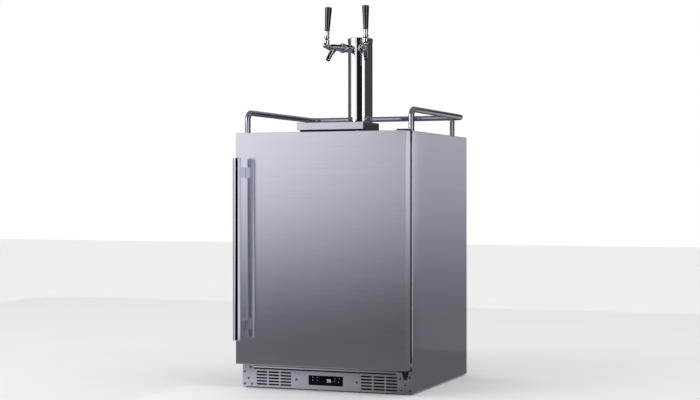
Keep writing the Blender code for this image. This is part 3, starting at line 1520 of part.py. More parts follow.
def keg_couplers():
    """Two keg couplers, stood on the shelf over the machinery until a keg is put in."""
    y = coupler_y()
    base = HUMP_TOP + SEAT
    body_top = base + COUPLER_BODY_H
    profile = (
        (0, base),
        (COUPLER_BASE_R, base),
        (COUPLER_BASE_R, base + COUPLER_BASE_H),
        (COUPLER_BODY_R, base + COUPLER_BASE_H + OVERRUN),
        (COUPLER_BODY_R, body_top),
        (COUPLER_NECK_R, body_top),
        (COUPLER_NECK_R, body_top + COUPLER_NECK_H),
        (0, body_top + COUPLER_NECK_H),
    )
    for (name, _), x in zip(TAP_SIDES, COUPLER_XS):
        label = "keg_coupler_" + name
        shape = bmesh.new()
        add_turned(shape, profile, ROUND_STEPS, Matrix.Translation((x, y, 0)))
        coupler = finish_piece(label, shape, CHROME)
        pins = bmesh.new()
        z = base + COUPLER_PIVOT_H
        pin_end = (x + COUPLER_PIN_REACH, y, z)
        add_peg(pins, (x - COUPLER_PIN_REACH, y, z), pin_end, COUPLER_PIN_R, SMALL_STEPS)
        fuse(coupler, finish_piece(label + "_pins", pins))
        inlet = bmesh.new()
        z = base + INLET_H
        add_peg(inlet, (x, y, z), (x, y + COUPLER_BODY_R + INLET_L / 2, z), INLET_R, SMALL_STEPS)
        fuse(coupler, finish_piece(label + "_inlet", inlet))
        coupler_lever(name, x, y, base + COUPLER_PIVOT_H)


def coupler_lever(name, x, y, z):
    """A forked handle on the coupler's pin, parked raised."""
    inner = COUPLER_BODY_R + RUN
    outer = inner + CHEEK_T
    shape = bmesh.new()
    for side in (-1, 1):
        one, two = sorted((x + side * inner, x + side * outer))
        low = (one, -LEVER_RADIUS - CHEEK_HALF, -CHEEK_HALF)
        add_box(shape, low, (two, CHEEK_HALF, CHEEK_HALF))
    lever = finish_piece("coupler_lever_" + name, shape, BLACK_PLASTIC, smooth=False)
    bridge = bmesh.new()
    low = (x - outer, -LEVER_RADIUS - CHEEK_HALF - CHEEK_T, -CHEEK_HALF)
    add_box(bridge, low, (x + outer, -LEVER_RADIUS - CHEEK_HALF + SEAT, CHEEK_HALF))
    fuse(lever, finish_piece("coupler_lever_%s_bridge" % name, bridge, smooth=False))
    grip = bmesh.new()
    start = (x, -LEVER_RADIUS - CHEEK_HALF - SEAT, 0)
    add_peg(grip, start, (x, -LEVER_RADIUS - CHEEK_HALF - LEVER_GRIP_L, 0), LEVER_GRIP_R, SMALL_STEPS)
    fuse(lever, finish_piece("coupler_lever_%s_grip" % name, grip))
    holes = bmesh.new()
    reach = outer + OVERRUN
    add_peg(holes, (x - reach, 0, 0), (x + reach, 0, 0), COUPLER_PIN_R + RUN, SMALL_STEPS)
    cut(lever, finish_piece("coupler_lever_%s_holes" % name, holes))
    parts = [lever] + [change.object for change in lever.modifiers]
    raise_up = Matrix.Rotation(-math.radians(LEVER_REST_DEG), 4, "X")
    for thing in parts:
        thing.matrix_world = Matrix.Translation((0, y, z)) @ raise_up


def hoses():
    y = coupler_y()
    barb_z = TAP_Z - BARB_DROP - SEAT
    neck = HUMP_TOP + SEAT + COUPLER_BODY_H + COUPLER_NECK_H + SEAT
    for (name, side), x in zip(TAP_SIDES, COUPLER_XS):
        barb = tap_point(side, SHANK_INNER, 0)
        route = [(barb.x, barb.y, barb_z + (TOP - barb_z) * down) for down in TOWER_DROP_SHARES]
        for across, back, down in BEER_LINE_SHARES:
            route.append((
                barb.x + (x - barb.x) * across,
                barb.y + (y - barb.y) * back,
                LINER_CEILING + (neck - LINER_CEILING) * down,
            ))
        add_hose("beer_line_" + name, route, HOSE_R, HOSE_CLEAR)

    reg_x, reg_y, reg_z = regulator_place()
    outlet_x = reg_x + OUTLET_ASIDE
    outlet_z = reg_z - REG_BODY_R - OUTLET_L - SEAT
    inlet_y = y + COUPLER_BODY_R + INLET_L / 2 + SEAT
    inlet_z = HUMP_TOP + SEAT + INLET_H
    for (name, side), x in zip(TAP_SIDES, COUPLER_XS):
        outlet_y = reg_y + side * OUTLET_SPREAD
        route = []
        for across, back, swing, down in GAS_LINE_SHARES[name]:
            route.append((
                outlet_x + (x - outlet_x) * across,
                outlet_y + (inlet_y - outlet_y) * back + GAS_LINE_SWING * swing,
                outlet_z + (inlet_z - outlet_z) * down,
            ))
        add_hose("gas_line_" + name, route, GAS_HOSE_R, HOSE_RED)


def add_fan(name, centre, direction, radius, hub, depth, look):
    """A hub with pitched blades, bored for its spindle."""
    frame = aim(centre, direction)
    bore = FAN_SPINDLE_R + RUN
    shape = bmesh.new()
    profile = ((bore, -depth / 2), (hub, -depth / 2), (hub, depth / 2), (bore, depth / 2))
    add_turned(shape, profile, ROUND_STEPS, frame)
    fan = finish_piece(name, shape, look)
    width = radius * BLADE_W_SHARE
    for i in range(FAN_BLADES):
        blade = bmesh.new()
        start = (bore + hub) / 2
        half = min(width / 2, (depth / 2 - BLADE_T) / math.sin(math.radians(BLADE_PITCH_DEG)))
        add_box(blade, (start, -half, -BLADE_T / 2), (radius, half, BLADE_T / 2))
        turn = Matrix.Rotation(2 * math.pi * i / FAN_BLADES, 4, "Z")
        pitch = Matrix.Rotation(math.radians(BLADE_PITCH_DEG), 4, "X")
        piece = finish_piece("%s_blade_%d" % (name, i), blade, smooth=False)
        piece.matrix_world = frame @ turn @ pitch
        fuse(fan, piece)
    hang_on(name + "_axis", centre, [fan])
    return fan


def evaporator():
    back = LINER_BACK - SEAT
    front = back - EVAP_DEPTH
    top = EVAP_LOW + EVAP_HEIGHT
    shape = bmesh.new()
    add_box(shape, (EVAP_LEFT, front, EVAP_LOW), (EVAP_RIGHT, back, top))
    cover = finish_piece("evaporator_cover", shape, WHITE_PLASTIC, smooth=False)
    hollow = bmesh.new()
    low = (EVAP_LEFT + EVAP_WALL, front + EVAP_WALL, EVAP_LOW + EVAP_WALL)
    add_box(hollow, low, (EVAP_RIGHT - EVAP_WALL, back + OVERRUN, top - EVAP_WALL))
    cut(cover, finish_piece("evaporator_cover_hollow", hollow, smooth=False))
    fan_z = top - EVAP_FAN_DROP
    openings = bmesh.new()
    profile = (
        (EVAP_HUB_R, -OVERRUN),
        (EVAP_HOLE_R, -OVERRUN),
        (EVAP_HOLE_R, OVERRUN),
        (EVAP_HUB_R, OVERRUN),
    )
    add_turned(openings, profile, ROUND_STEPS, aim((EVAP_X, front + EVAP_WALL / 2, fan_z), (0, 1, 0)))
    for i in range(EVAP_SLOTS):
        z = EVAP_LOW + EVAP_SLOT_LOW + i * EVAP_SLOT_PITCH
        low = (EVAP_LEFT + EVAP_SLOT_INSET, front - OVERRUN, z)
        high = (EVAP_RIGHT - EVAP_SLOT_INSET, front + EVAP_WALL + OVERRUN, z + EVAP_SLOT_H)
        add_box(openings, low, high)
    cut(cover, finish_piece("evaporator_cover_openings", openings))
    spokes = bmesh.new()
    reach = EVAP_HOLE_R + OVERRUN
    half = EVAP_SPOKE_W / 2
    low = (EVAP_X - reach, front + SEAT, fan_z - half)
    add_box(spokes, low, (EVAP_X + reach, front + EVAP_WALL - SEAT, fan_z + half))
    fuse(cover, finish_piece("evaporator_cover_spoke_across", spokes, smooth=False))
    spokes = bmesh.new()
    low = (EVAP_X - half, front + SEAT + SEAT, fan_z - reach)
    add_box(spokes, low, (EVAP_X + half, front + EVAP_WALL - SEAT - SEAT, fan_z + reach))
    fuse(cover, finish_piece("evaporator_cover_spoke_up", spokes, smooth=False))
    spindle = bmesh.new()
    start = (EVAP_X, front + EVAP_WALL / 2, fan_z)
    end = (EVAP_X, front + EVAP_WALL + RUN + FAN_DEPTH, fan_z)
    add_peg(spindle, start, end, FAN_SPINDLE_R, SMALL_STEPS)
    fuse(cover, finish_piece("evaporator_cover_spindle", spindle))

    centre = (EVAP_X, front + EVAP_WALL + RUN + FAN_DEPTH / 2, fan_z)
    add_fan("circulation_fan", centre, (0, 1, 0), FAN_R, FAN_HUB_R, FAN_DEPTH, BLACK_PLASTIC)


# The machine compartment


def machine_middle():
    return (MACHINE_FRONT + BACK - SHEET) / 2


def compressor():
    y = machine_middle()
    floor = PAN_FLOOR + SEAT
    plate_low = floor + CAN_FOOT_H
    can_low = plate_low + CAN_PLATE_T / 2
    shape = bmesh.new()
    profile = [(0, can_low), (CAN_R * CAN_BASE_SHARE, can_low), (CAN_R, can_low + CAN_DOME / 3)]
    for i in range(5):
        turn = math.radians(90 * i / 5)
        profile.append((CAN_R * math.cos(turn), can_low + CAN_H - CAN_DOME * (1 - math.sin(turn))))
    profile.append((0, can_low + CAN_H))
    add_turned(shape, profile, ROUND_STEPS, Matrix.Translation((CAN_X, y, 0)))
    can = finish_piece("compressor", shape, BLACK_STEEL)
    plate = bmesh.new()
    half_w, half_d = CAN_PLATE_W / 2, CAN_PLATE_D / 2
    low = (CAN_X - half_w, y - half_d, plate_low)
    add_box(plate, low, (CAN_X + half_w, y + half_d, plate_low + CAN_PLATE_T))
    fuse(can, finish_piece("compressor_plate", plate, smooth=False))
    feet = bmesh.new()
    for across in (-1, 1):
        for along in (-1, 1):
            x = CAN_X + across * (half_w - CAN_FOOT_R - RUN)
            foot_y = y + along * (half_d - CAN_FOOT_R - RUN)
            foot_top = (x, foot_y, plate_low + CAN_PLATE_T / 2)
            add_peg(feet, (x, foot_y, floor), foot_top, CAN_FOOT_R, SMALL_STEPS)
    fuse(can, finish_piece("compressor_feet", feet))


def condenser():
    """A finned block: the outline of its fins on both sides of a flat core."""
    y = machine_middle()
    low = PAN_FLOOR + SEAT
    pitch = COOLER_D / COOLER_FINS
    fin = pitch * COOLER_FIN_SHARE
    core = COOLER_W * COOLER_CORE_SHARE / 2
    tip = COOLER_W / 2
    start = y - COOLER_D / 2
    right = []
    for i in range(COOLER_FINS):
        a = start + i * pitch
        b = a + fin
        right += [(tip, a), (tip, b)]
        if i + 1 < COOLER_FINS:
            right += [(core, b), (core, a + pitch)]
    left = [(-across, along) for across, along in reversed(right)]
    outline = [(COOLER_X + across, along) for across, along in right + left]
    shape = bmesh.new()
    add_prism(shape, outline, low, low + COOLER_H, "z")
    finish_piece("condenser", shape, ALUMINIUM, smooth=False)


def condenser_fan():
    y = machine_middle()
    low = PAN_FLOOR + SEAT
    z = low + SHROUD_SIDE / 2
    half = SHROUD_SIDE / 2
    left = SHROUD_X - SHROUD_T / 2
    right = SHROUD_X + SHROUD_T / 2
    shape = bmesh.new()
    add_box(shape, (left, y - half, low), (right, y + half, low + SHROUD_SIDE))
    shroud = finish_piece("condenser_fan_shroud", shape, BLACK_PLASTIC, smooth=False)
    hole = bmesh.new()
    add_peg(hole, (left - OVERRUN, y, z), (right + OVERRUN, y, z), SHROUD_HOLE_R)
    cut(shroud, finish_piece("condenser_fan_shroud_hole", hole))
    spokes = bmesh.new()
    reach = SHROUD_HOLE_R + OVERRUN
    width = SHROUD_SPOKE_W / 2
    add_box(spokes, (left + SEAT, y - reach, z - width), (left + SHROUD_SPOKE_T, y + reach, z + width))
    fuse(shroud, finish_piece("condenser_fan_spoke_across", spokes, smooth=False))
    spokes = bmesh.new()
    far = left + SHROUD_SPOKE_T - SEAT
    add_box(spokes, (left + SEAT + SEAT, y - width, z - reach), (far, y + width, z + reach))
    fuse(shroud, finish_piece("condenser_fan_spoke_up", spokes, smooth=False))
    motor = bmesh.new()
    add_peg(motor, (left - SHROUD_T, y, z), (left + SHROUD_SPOKE_T + SEAT, y, z), SHROUD_HUB_R)
    fuse(shroud, finish_piece("condenser_fan_motor", motor))
    spindle = bmesh.new()
    fan_low = left + SHROUD_SPOKE_T + SEAT + RUN
    add_peg(spindle, (left, y, z), (fan_low + COOLER_FAN_DEPTH, y, z), FAN_SPINDLE_R, SMALL_STEPS)
    fuse(shroud, finish_piece("condenser_fan_spindle", spindle))
    centre = (fan_low + COOLER_FAN_DEPTH / 2, y, z)
    sizes = (COOLER_FAN_R, COOLER_FAN_HUB_R, COOLER_FAN_DEPTH)
    add_fan("condenser_fan", centre, (1, 0, 0), *sizes, BLACK_PLASTIC)


def power_inlet():
    left = INLET_SOCKET_X - SOCKET_W / 2
    right = INLET_SOCKET_X + SOCKET_W / 2
    low = LOW + SOCKET_Z
    high = low + SOCKET_H
    shape = bmesh.new()
    add_box(shape, (left, BACK - SOCKET_DEPTH, low), (right, BACK, high))
    socket = finish_piece("power_inlet", shape, BLACK_PLASTIC, smooth=False)
    hollow = bmesh.new()
    near = (left + SOCKET_WALL, BACK - SOCKET_DEPTH + SOCKET_WALL, low + SOCKET_WALL)
    add_box(hollow, near, (right - SOCKET_WALL, BACK + OVERRUN, high - SOCKET_WALL))
    cut(socket, finish_piece("power_inlet_hollow", hollow, smooth=False))


def build():
    clear_scene()
    side_panels()
    top_panel()
    back_panel()
    base_pan()
    front_crossbar()
    cabinet_foam()
    inner_liner()
    kick_plate()
    control_unit()
    hinge_brackets()
    levelling_feet()
    door()
    guard_rail()
    drip_tray()
    tower()
    tap_shanks()
    coupling_nuts()
    faucet_bodies()
    tap_levers()
    valve_shafts()
    keg_floor_plate()
    gas_cylinder()
    regulator()
    keg_couplers()
    hoses()
    evaporator()
    compressor()
    condenser()
    condenser_fan()
    power_inlet()


build()
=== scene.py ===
import json
import math

import bmesh
import bpy
from mathutils import Matrix, Vector

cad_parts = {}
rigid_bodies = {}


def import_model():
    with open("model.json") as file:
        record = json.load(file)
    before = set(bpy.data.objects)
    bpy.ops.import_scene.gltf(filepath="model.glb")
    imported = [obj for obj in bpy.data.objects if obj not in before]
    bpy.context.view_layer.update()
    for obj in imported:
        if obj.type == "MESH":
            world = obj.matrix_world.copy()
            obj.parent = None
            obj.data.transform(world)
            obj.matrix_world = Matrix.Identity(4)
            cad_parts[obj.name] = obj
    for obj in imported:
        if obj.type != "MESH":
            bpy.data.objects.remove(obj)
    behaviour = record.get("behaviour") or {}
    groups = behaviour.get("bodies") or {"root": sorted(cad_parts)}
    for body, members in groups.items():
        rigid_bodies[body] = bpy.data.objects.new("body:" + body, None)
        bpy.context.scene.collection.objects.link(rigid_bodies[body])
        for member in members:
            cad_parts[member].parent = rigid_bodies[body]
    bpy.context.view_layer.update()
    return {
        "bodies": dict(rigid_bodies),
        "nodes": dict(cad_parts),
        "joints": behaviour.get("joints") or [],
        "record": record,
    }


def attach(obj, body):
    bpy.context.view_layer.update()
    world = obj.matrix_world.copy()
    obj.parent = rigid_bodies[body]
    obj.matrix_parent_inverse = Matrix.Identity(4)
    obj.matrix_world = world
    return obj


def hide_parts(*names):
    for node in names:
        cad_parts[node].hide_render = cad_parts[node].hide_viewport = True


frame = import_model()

NODES = frame["nodes"]

# Sizes that the solids have too, in metres
HALF = 0.300
FRONT = -0.23875
BACK = 0.36125
LOW = 0.004
TOP = 0.848
DOOR_FACE = -0.29275
TOWER_AXIS_Y = 0.08125
TOWER_R = 0.0425
TOWER_TOP = 1.186
COLUMN_TOP = 1.1717
TAP_Z = 1.1475
TAP_ANGLE = 28.0
LEVER_AT = 0.152
LEVER_LEAN = 4.0
PIVOT_RISE = 0.0215
SIDES = (("left", -1), ("right", 1))
CROSSBAR_FACE = -0.23725

FINE = 64                  # steps round a large turned form
BEND = math.radians(40)    # edges bent by more than this stay sharp
MERGE = 0.00001            # corners nearer than this are one
SEAT = 0.0003              # gap left between pieces that touch


# Node materials


def add_node(tree, kind, inputs=None, **settings):
    """A new node with these settings, and with these values and links on its inputs."""
    node = tree.nodes.new(kind)
    for key, value in settings.items():
        setattr(node, key, value)
    for key, value in (inputs or {}).items():
        if isinstance(value, bpy.types.NodeSocket):
            tree.links.new(value, node.inputs[key])
        else:
            node.inputs[key].default_value = value
    return node


class Finish:
    """A Principled material whose colour, roughness and bump come from noise in object space."""

    def __init__(self, name, colour, metallic=0.0, roughness=0.5, **sockets):
        self.material = bpy.data.materials.new(name)
        self.material.use_nodes = True
        self.tree = self.material.node_tree
        self.shader = self.tree.nodes["Principled BSDF"]
        self.colour = colour
        self.roughness = roughness
        self.shader.inputs["Base Color"].default_value = (*colour, 1.0)
        self.shader.inputs["Metallic"].default_value = metallic
        self.shader.inputs["Roughness"].default_value = roughness
        for socket, value in sockets.items():
            self.shader.inputs[socket.replace("_", " ")].default_value = value
        self.place = self.add("ShaderNodeTexCoord").outputs["Object"]
        self.normal = None

    def add(self, kind, inputs=None, **settings):
        return add_node(self.tree, kind, inputs, **settings)

    def noise(self, stretch, detail=3.0, rough=0.55):
        """Noise with this many features a metre along X, Y and Z."""
        place = self.add("ShaderNodeMapping", {"Vector": self.place, "Scale": stretch})
        inputs = {"Vector": place.outputs["Vector"], "Scale": 1.0, "Detail": detail, "Roughness": rough}
        return self.add("ShaderNodeTexNoise", inputs).outputs["Fac"]

    def cells(self, stretch):
        place = self.add("ShaderNodeMapping", {"Vector": self.place, "Scale": stretch})
        return self.add("ShaderNodeTexVoronoi", {"Vector": place.outputs["Vector"], "Scale": 1.0})

    def spread(self, value, low, high, start=0.3, end=0.7):
        """A value from start to end, spread from low to high."""
        inputs = {"Value": value, "From Min": start, "From Max": end, "To Min": low, "To Max": high}
        return self.add("ShaderNodeMapRange", inputs).outputs["Result"]

    def tint(self, value, amount, start=0.3, end=0.7):
        """The colour made up to this share darker and lighter by a value."""
        dark = [c * (1 - amount) for c in self.colour] + [1.0]
        light = [min(1.0, c * (1 + amount)) for c in self.colour] + [1.0]
        inputs = {0: self.spread(value, 0.0, 1.0, start, end), 6: dark, 7: light}
        return self.add("ShaderNodeMix", inputs, data_type="RGBA").outputs[2]

    def set(self, socket, value):
        self.tree.links.new(value, self.shader.inputs[socket])

    def vary_roughness(self, value, swing, start=0.3, end=0.7):
        low, high = self.roughness * (1 - swing), self.roughness * (1 + swing)
        self.set("Roughness", self.spread(value, low, high, start, end))

    def bump(self, height, depth, strength=1.0):
        inputs = {"Height": height, "Distance": depth, "Strength": strength}
        if self.normal is not None:
            inputs["Normal"] = self.normal
        self.normal = self.add("ShaderNodeBump", inputs).outputs["Normal"]
        self.set("Normal", self.normal)

    def mean(self, one, two):
        total = self.add("ShaderNodeMath", {0: one, 1: two}, operation="ADD").outputs[0]
        return self.add("ShaderNodeMath", {0: total, 1: 0.5}, operation="MULTIPLY").outputs[0]


def brushed(name, colour, roughness, grain, axis="Z"):
    """Steel brushed along one direction: grain gives the features a metre along X, Y and Z."""
    finish = Finish(name, colour, 1.0, roughness, Anisotropic=0.5, Anisotropic_Rotation=0.25)
    tangent = finish.add("ShaderNodeTangent", direction_type="RADIAL", axis=axis)
    finish.set("Tangent", tangent.outputs["Tangent"])
    fine = finish.noise(grain, 2.0, 0.6)
    coarse = finish.noise(tuple(g / 2.5 for g in grain), 2.0, 0.6)
    cloud = finish.noise((3.1, 3.1, 2.3), 3.0, 0.5)
    lines = finish.mean(fine, coarse)
    finish.set("Base Color", finish.tint(lines, 0.03, 0.35, 0.65))
    finish.vary_roughness(finish.mean(lines, cloud), 0.10, 0.4, 0.6)
    finish.bump(fine, 0.0000015)
    return finish.material


def polished(name, colour, roughness, swirl=(90, 90, 90), wave=0.00002):
    """Bright plated or polished metal with faint wiping marks and a little dullness in patches."""
    finish = Finish(name, colour, 1.0, roughness)
    marks = finish.noise(swirl, 4.0, 0.6)
    cloud = finish.noise((14, 14, 11), 3.0, 0.5)
    finish.set("Base Color", finish.tint(cloud, 0.02))
    finish.vary_roughness(finish.mean(marks, cloud), 0.45, 0.35, 0.65)
    finish.bump(cloud, wave, 0.5)
    return finish.material


def moulded(name, colour, roughness, scale=900, depth=0.00004, **sockets):
    """Plastic or rubber with a fine moulded texture."""
    finish = Finish(name, colour, 0.0, roughness, **sockets)
    grain = finish.noise((scale, scale, scale), 2.0, 0.5)
    cloud = finish.noise((9, 9, 9), 3.0, 0.5)
    finish.set("Base Color", finish.tint(cloud, 0.025))
    finish.vary_roughness(finish.mean(grain, cloud), 0.14)
    finish.bump(grain, depth)
    return finish.material


def galvanised():
    finish = Finish("galvanised_sheet", (0.50, 0.51, 0.52), 0.9, 0.42)
    spangle = finish.cells((70, 70, 70))
    shade = finish.add("ShaderNodeSeparateColor", {"Color": spangle.outputs["Color"]}).outputs["Red"]
    stain = finish.noise((5, 5, 5), 4.0)
    finish.set("Base Color", finish.tint(finish.mean(shade, stain), 0.14, 0.3, 0.7))
    finish.vary_roughness(shade, 0.28, 0.0, 1.0)
    finish.bump(finish.noise((260, 260, 260)), 0.00002)
    return finish.material


def foamed():
    finish = Finish("insulating_foam", (0.72, 0.62, 0.38), 0.0, 0.9)
    cells = finish.cells((420, 420, 420))
    finish.set("Base Color", finish.tint(finish.noise((18, 18, 18)), 0.12))
    finish.vary_roughness(finish.noise((60, 60, 60)), 0.06)
    finish.bump(cells.outputs["Distance"], 0.0004)
    return finish.material


def glass_black():
    finish = Finish("display_black_glass", (0.006, 0.006, 0.009), 0.0, 0.05, IOR=1.5)
    finish.set("Base Color", finish.tint(finish.noise((30, 30, 30)), 0.2))
    finish.vary_roughness(finish.noise((120, 120, 120), 4.0), 0.5)
    return finish.material


def lacquer():
    finish = Finish("black_lacquer", (0.010, 0.010, 0.012), 0.0, 0.10, IOR=1.55, Coat_Weight=1.0,
                    Coat_Roughness=0.04)
    finish.set("Base Color", finish.tint(finish.noise((40, 40, 40)), 0.25))
    finish.vary_roughness(finish.noise((130, 130, 60), 4.0), 0.3)
    finish.bump(finish.noise((90, 90, 30), 1.0), 0.000004, 0.5)
    return finish.material


def hose(name, colour, transmission):
    finish = Finish(name, colour, 0.0, 0.22, IOR=1.46, Transmission_Weight=transmission)
    ripple = finish.noise((60, 60, 60), 2.0)
    finish.set("Base Color", finish.tint(ripple, 0.06))
    finish.vary_roughness(finish.noise((300, 300, 300)), 0.25)
    finish.bump(ripple, 0.0001, 0.5)
    return finish.material


def glowing(name, colour, strength):
    """A lit segment behind glass, a little uneven."""
    finish = Finish(name, colour, 0.0, 0.3, Emission_Strength=strength)
    finish.set("Emission Color", finish.tint(finish.noise((700, 700, 700), 1.0), 0.12))
    finish.vary_roughness(finish.noise((400, 400, 400)), 0.2)
    return finish.material


ALONG_X = (5, 5, 1500)        # brushing that runs level on an upright sheet
ALONG_X_FLAT = (5, 1500, 5)   # and along X on a flat one
FLAT_STEEL = brushed("flat_brushed_steel", (0.62, 0.63, 0.70), 0.26, ALONG_X_FLAT, "Y")
# A dark copy of the screws' metal: painted shade that makes the kick plate's screws dark.
SHADED_SCREW_METAL = polished("dark_zinc_screws", (0.17, 0.17, 0.20), 0.30)
# The rail's tube: polished steel made darker and bluer, painted shade.
RAIL_STEEL_SHADED = polished("rail_tube", (0.44, 0.46, 0.54), 0.11, wave=0.000004)
LOOKS = {
    "door_steel": brushed("door_brushed_steel", (0.63, 0.64, 0.74), 0.15, ALONG_X),
    # The side panels take the door's steel a little darker and bluer: painted shade.
    "side_steel": brushed("side_brushed_steel", (0.58, 0.60, 0.72), 0.10, ALONG_X),
    "far_side_steel": brushed("far_side_brushed_steel", (0.58, 0.60, 0.72), 0.24, ALONG_X),
    "trim_steel": brushed("trim_brushed_steel", (0.62, 0.63, 0.72), 0.20, ALONG_X),
    "polished_steel": polished("polished_tube", (0.74, 0.76, 0.82), 0.055, wave=0.000004),
    "chrome": polished("chrome_plate", (0.82, 0.84, 0.88), 0.040, wave=0.000005),
    "galvanised_steel": galvanised(),
    "black_steel": moulded("black_powder_coat", (0.012, 0.012, 0.015), 0.45, 1300, 0.00005,
                           Specular_IOR_Level=0.3),
    "display_glass": glass_black(),
    "black_lacquer": lacquer(),
    "black_plastic": moulded("black_moulding", (0.014, 0.014, 0.016), 0.42, Specular_IOR_Level=0.35),
    "rubber": moulded("dark_rubber", (0.014, 0.014, 0.015), 0.80, 500, 0.00006, Specular_IOR_Level=0.2),
    "white_plastic": moulded("white_moulding", (0.80, 0.80, 0.79), 0.36, 240, 0.00003),
    "insulation": foamed(),
    "aluminium": polished("satin_aluminium", (0.72, 0.73, 0.74), 0.34, (40, 40, 900)),
    "brass": polished("turned_brass", (0.72, 0.55, 0.28), 0.24, (300, 300, 300)),
    "clear_hose": hose("clear_beer_hose", (0.86, 0.84, 0.72), 0.55),
    "red_hose": hose("red_gas_hose", (0.55, 0.04, 0.03), 0.0),
}
SLOT_NODES = {
    "door_steel": ["door_skin"],
    "side_steel": ["side_panel_right"],
    "far_side_steel": ["side_panel_left"],
    "trim_steel": ["kick_plate", "front_crossbar", "drip_tray"],
    "polished_steel": ["valve_shaft_left", "valve_shaft_right"],
    "chrome": ["keg_coupler_left", "keg_coupler_right"],
    "galvanised_steel": ["back_panel", "base_pan"],
    "black_steel": ["hinge_bracket_upper", "hinge_bracket_lower", "compressor"],
    "display_glass": ["display_window"],
    "rubber": ["door_gasket", "drip_tray_plinth"],
    "white_plastic": ["inner_liner", "door_liner", "evaporator_cover"],
    "insulation": ["cabinet_foam", "door_foam"],
    "aluminium": ["condenser"],
    "brass": ["regulator"],
}
FLAT_NODES = ("top_panel", "drip_grille", "keg_floor_plate")


# Shapes


def smoothing_group():
    """Joins split corners and shades everything smooth but the edges bent by more than BEND."""
    tree = bpy.data.node_groups.new("smooth_by_angle", "GeometryNodeTree")
    for way in ("INPUT", "OUTPUT"):
        tree.interface.new_socket("Geometry", in_out=way, socket_type="NodeSocketGeometry")
    start = add_node(tree, "NodeGroupInput").outputs[0]
    merge = add_node(tree, "GeometryNodeMergeByDistance", {"Geometry": start, "Distance": MERGE})
    faces = add_node(tree, "GeometryNodeSetShadeSmooth", {"Geometry": merge.outputs["Geometry"]})
    angle = add_node(tree, "GeometryNodeInputMeshEdgeAngle").outputs["Unsigned Angle"]
    over = add_node(tree, "FunctionNodeCompare", {"A": angle, "B": BEND}, operation="GREATER_THAN")
    edges = add_node(tree, "GeometryNodeSetShadeSmooth", {
        "Geometry": faces.outputs["Geometry"], "Selection": over.outputs["Result"], "Shade Smooth": False,
    }, domain="EDGE")
    add_node(tree, "NodeGroupOutput", {0: edges.outputs["Geometry"]})
    return tree


SMOOTHING = smoothing_group()


def even_faces(thing):
    """Large faces keep their own normals and the small ones beside them bend."""
    flat = thing.modifiers.new("flat_faces", "WEIGHTED_NORMAL")
    flat.mode = "FACE_AREA"
    flat.weight = 90
    flat.keep_sharp = True


def soften(thing, width=0.0):
    """Smooth shading by angle, after a small bevel of the sharp edges if a width is given."""
    if width:
        join = thing.modifiers.new("join", "WELD")
        join.merge_threshold = MERGE
        bevel = thing.modifiers.new("edges", "BEVEL")
        bevel.width = width
        bevel.segments = 2
        bevel.limit_method = "ANGLE"
        bevel.angle_limit = BEND
        bevel.use_clamp_overlap = True
    smooth = thing.modifiers.new("smooth", "NODES")
    smooth.node_group = SMOOTHING
    even_faces(thing)


def shade(thing, bend=BEND):
    """Smooth shading of a piece's own mesh, but for the edges that bend more."""
    thing.data.shade_smooth()
    thing.data.set_sharp_from_angle(angle=bend)


def dress(thing, finish):
    thing.data.materials.clear()
    thing.data.materials.append(finish)


def put(name, data):
    """A new object in the scene."""
    thing = bpy.data.objects.new(name, data)
    bpy.context.scene.collection.objects.link(thing)
    return thing


def loose(name, shape):
    """A bmesh as an object that isn't a piece yet."""
    bmesh.ops.recalc_face_normals(shape, faces=shape.faces[:])
    mesh = bpy.data.meshes.new(name)
    shape.to_mesh(mesh)
    shape.free()
    return put(name, mesh)


def finish_piece(name, shape, slot, body, replaced=(), finish=None, smooth=True):
    """A bmesh made into a piece that rides on a body and takes its finish from a slot."""
    thing = loose(name, shape)
    if smooth:
        shade(thing)
    return enlist(thing, slot, body, replaced, finish)


def enlist(thing, slot, body, replaced=(), finish=None):
    """Makes an object a piece of the visual model, in place of the solids named in replaced."""
    dress(thing, finish or LOOKS[slot])
    if thing.type == "MESH":
        even_faces(thing)
    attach(thing, body)
    if replaced:
        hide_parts(*replaced)
    return thing


def rounded(points, radius, steps=3):
    """A profile with its corners rounded, but not its two ends."""
    result = [Vector(points[0])]
    for before, corner, after in zip(points, points[1:], points[2:]):
        corner = Vector(corner)
        back, on = Vector(before) - corner, Vector(after) - corner
        reach = min(radius, back.length * 0.45, on.length * 0.45)
        start = corner + back.normalized() * reach
        end = corner + on.normalized() * reach
        for i in range(steps + 1):
            t = i / steps
            result.append((1 - t) ** 2 * start + 2 * t * (1 - t) * corner + t ** 2 * end)
    return result + [Vector(points[-1])]


def turn_profile(shape, profile, place=None, steps=FINE, closed=False, dent=None):
    """Revolve (radius, height) points about Z, with a dent in the radius by point and angle if given."""
    place = place or Matrix.Identity(4)
    rings = []
    for k, (radius, height) in enumerate(profile):
        if radius < 1e-7:
            rings.append([shape.verts.new(place @ Vector((0, 0, height)))] * steps)
            continue
        ring = []
        for i in range(steps):
            turn = 2 * math.pi * i / steps
            reach = radius - (dent(k, turn) if dent else 0.0)
            point = Vector((reach * math.cos(turn), reach * math.sin(turn), height))
            ring.append(shape.verts.new(place @ point))
        rings.append(ring)
    for one, two in zip(rings, rings[1:] + rings[:1] if closed else rings[1:]):
        for i in range(steps):
            j = (i + 1) % steps
            corners = []
            for vert in (one[i], one[j], two[j], two[i]):
                if vert not in corners:
                    corners.append(vert)
            if len(corners) > 2:
                shape.faces.new(corners)


def ball(radius, steps=20):
    """The half circle that a ball is turned from."""
    points = [(0, -radius)]
    for i in range(1, steps):
        turn = math.pi * i / steps
        points.append((radius * math.sin(turn), -radius * math.cos(turn)))
    return points + [(0, radius)]


def aim(origin, direction):
    """A frame at a place, with its Z along a direction."""
    turn = Vector(direction).normalized().to_track_quat("Z", "Y")
    return Matrix.Translation(origin) @ turn.to_matrix().to_4x4()


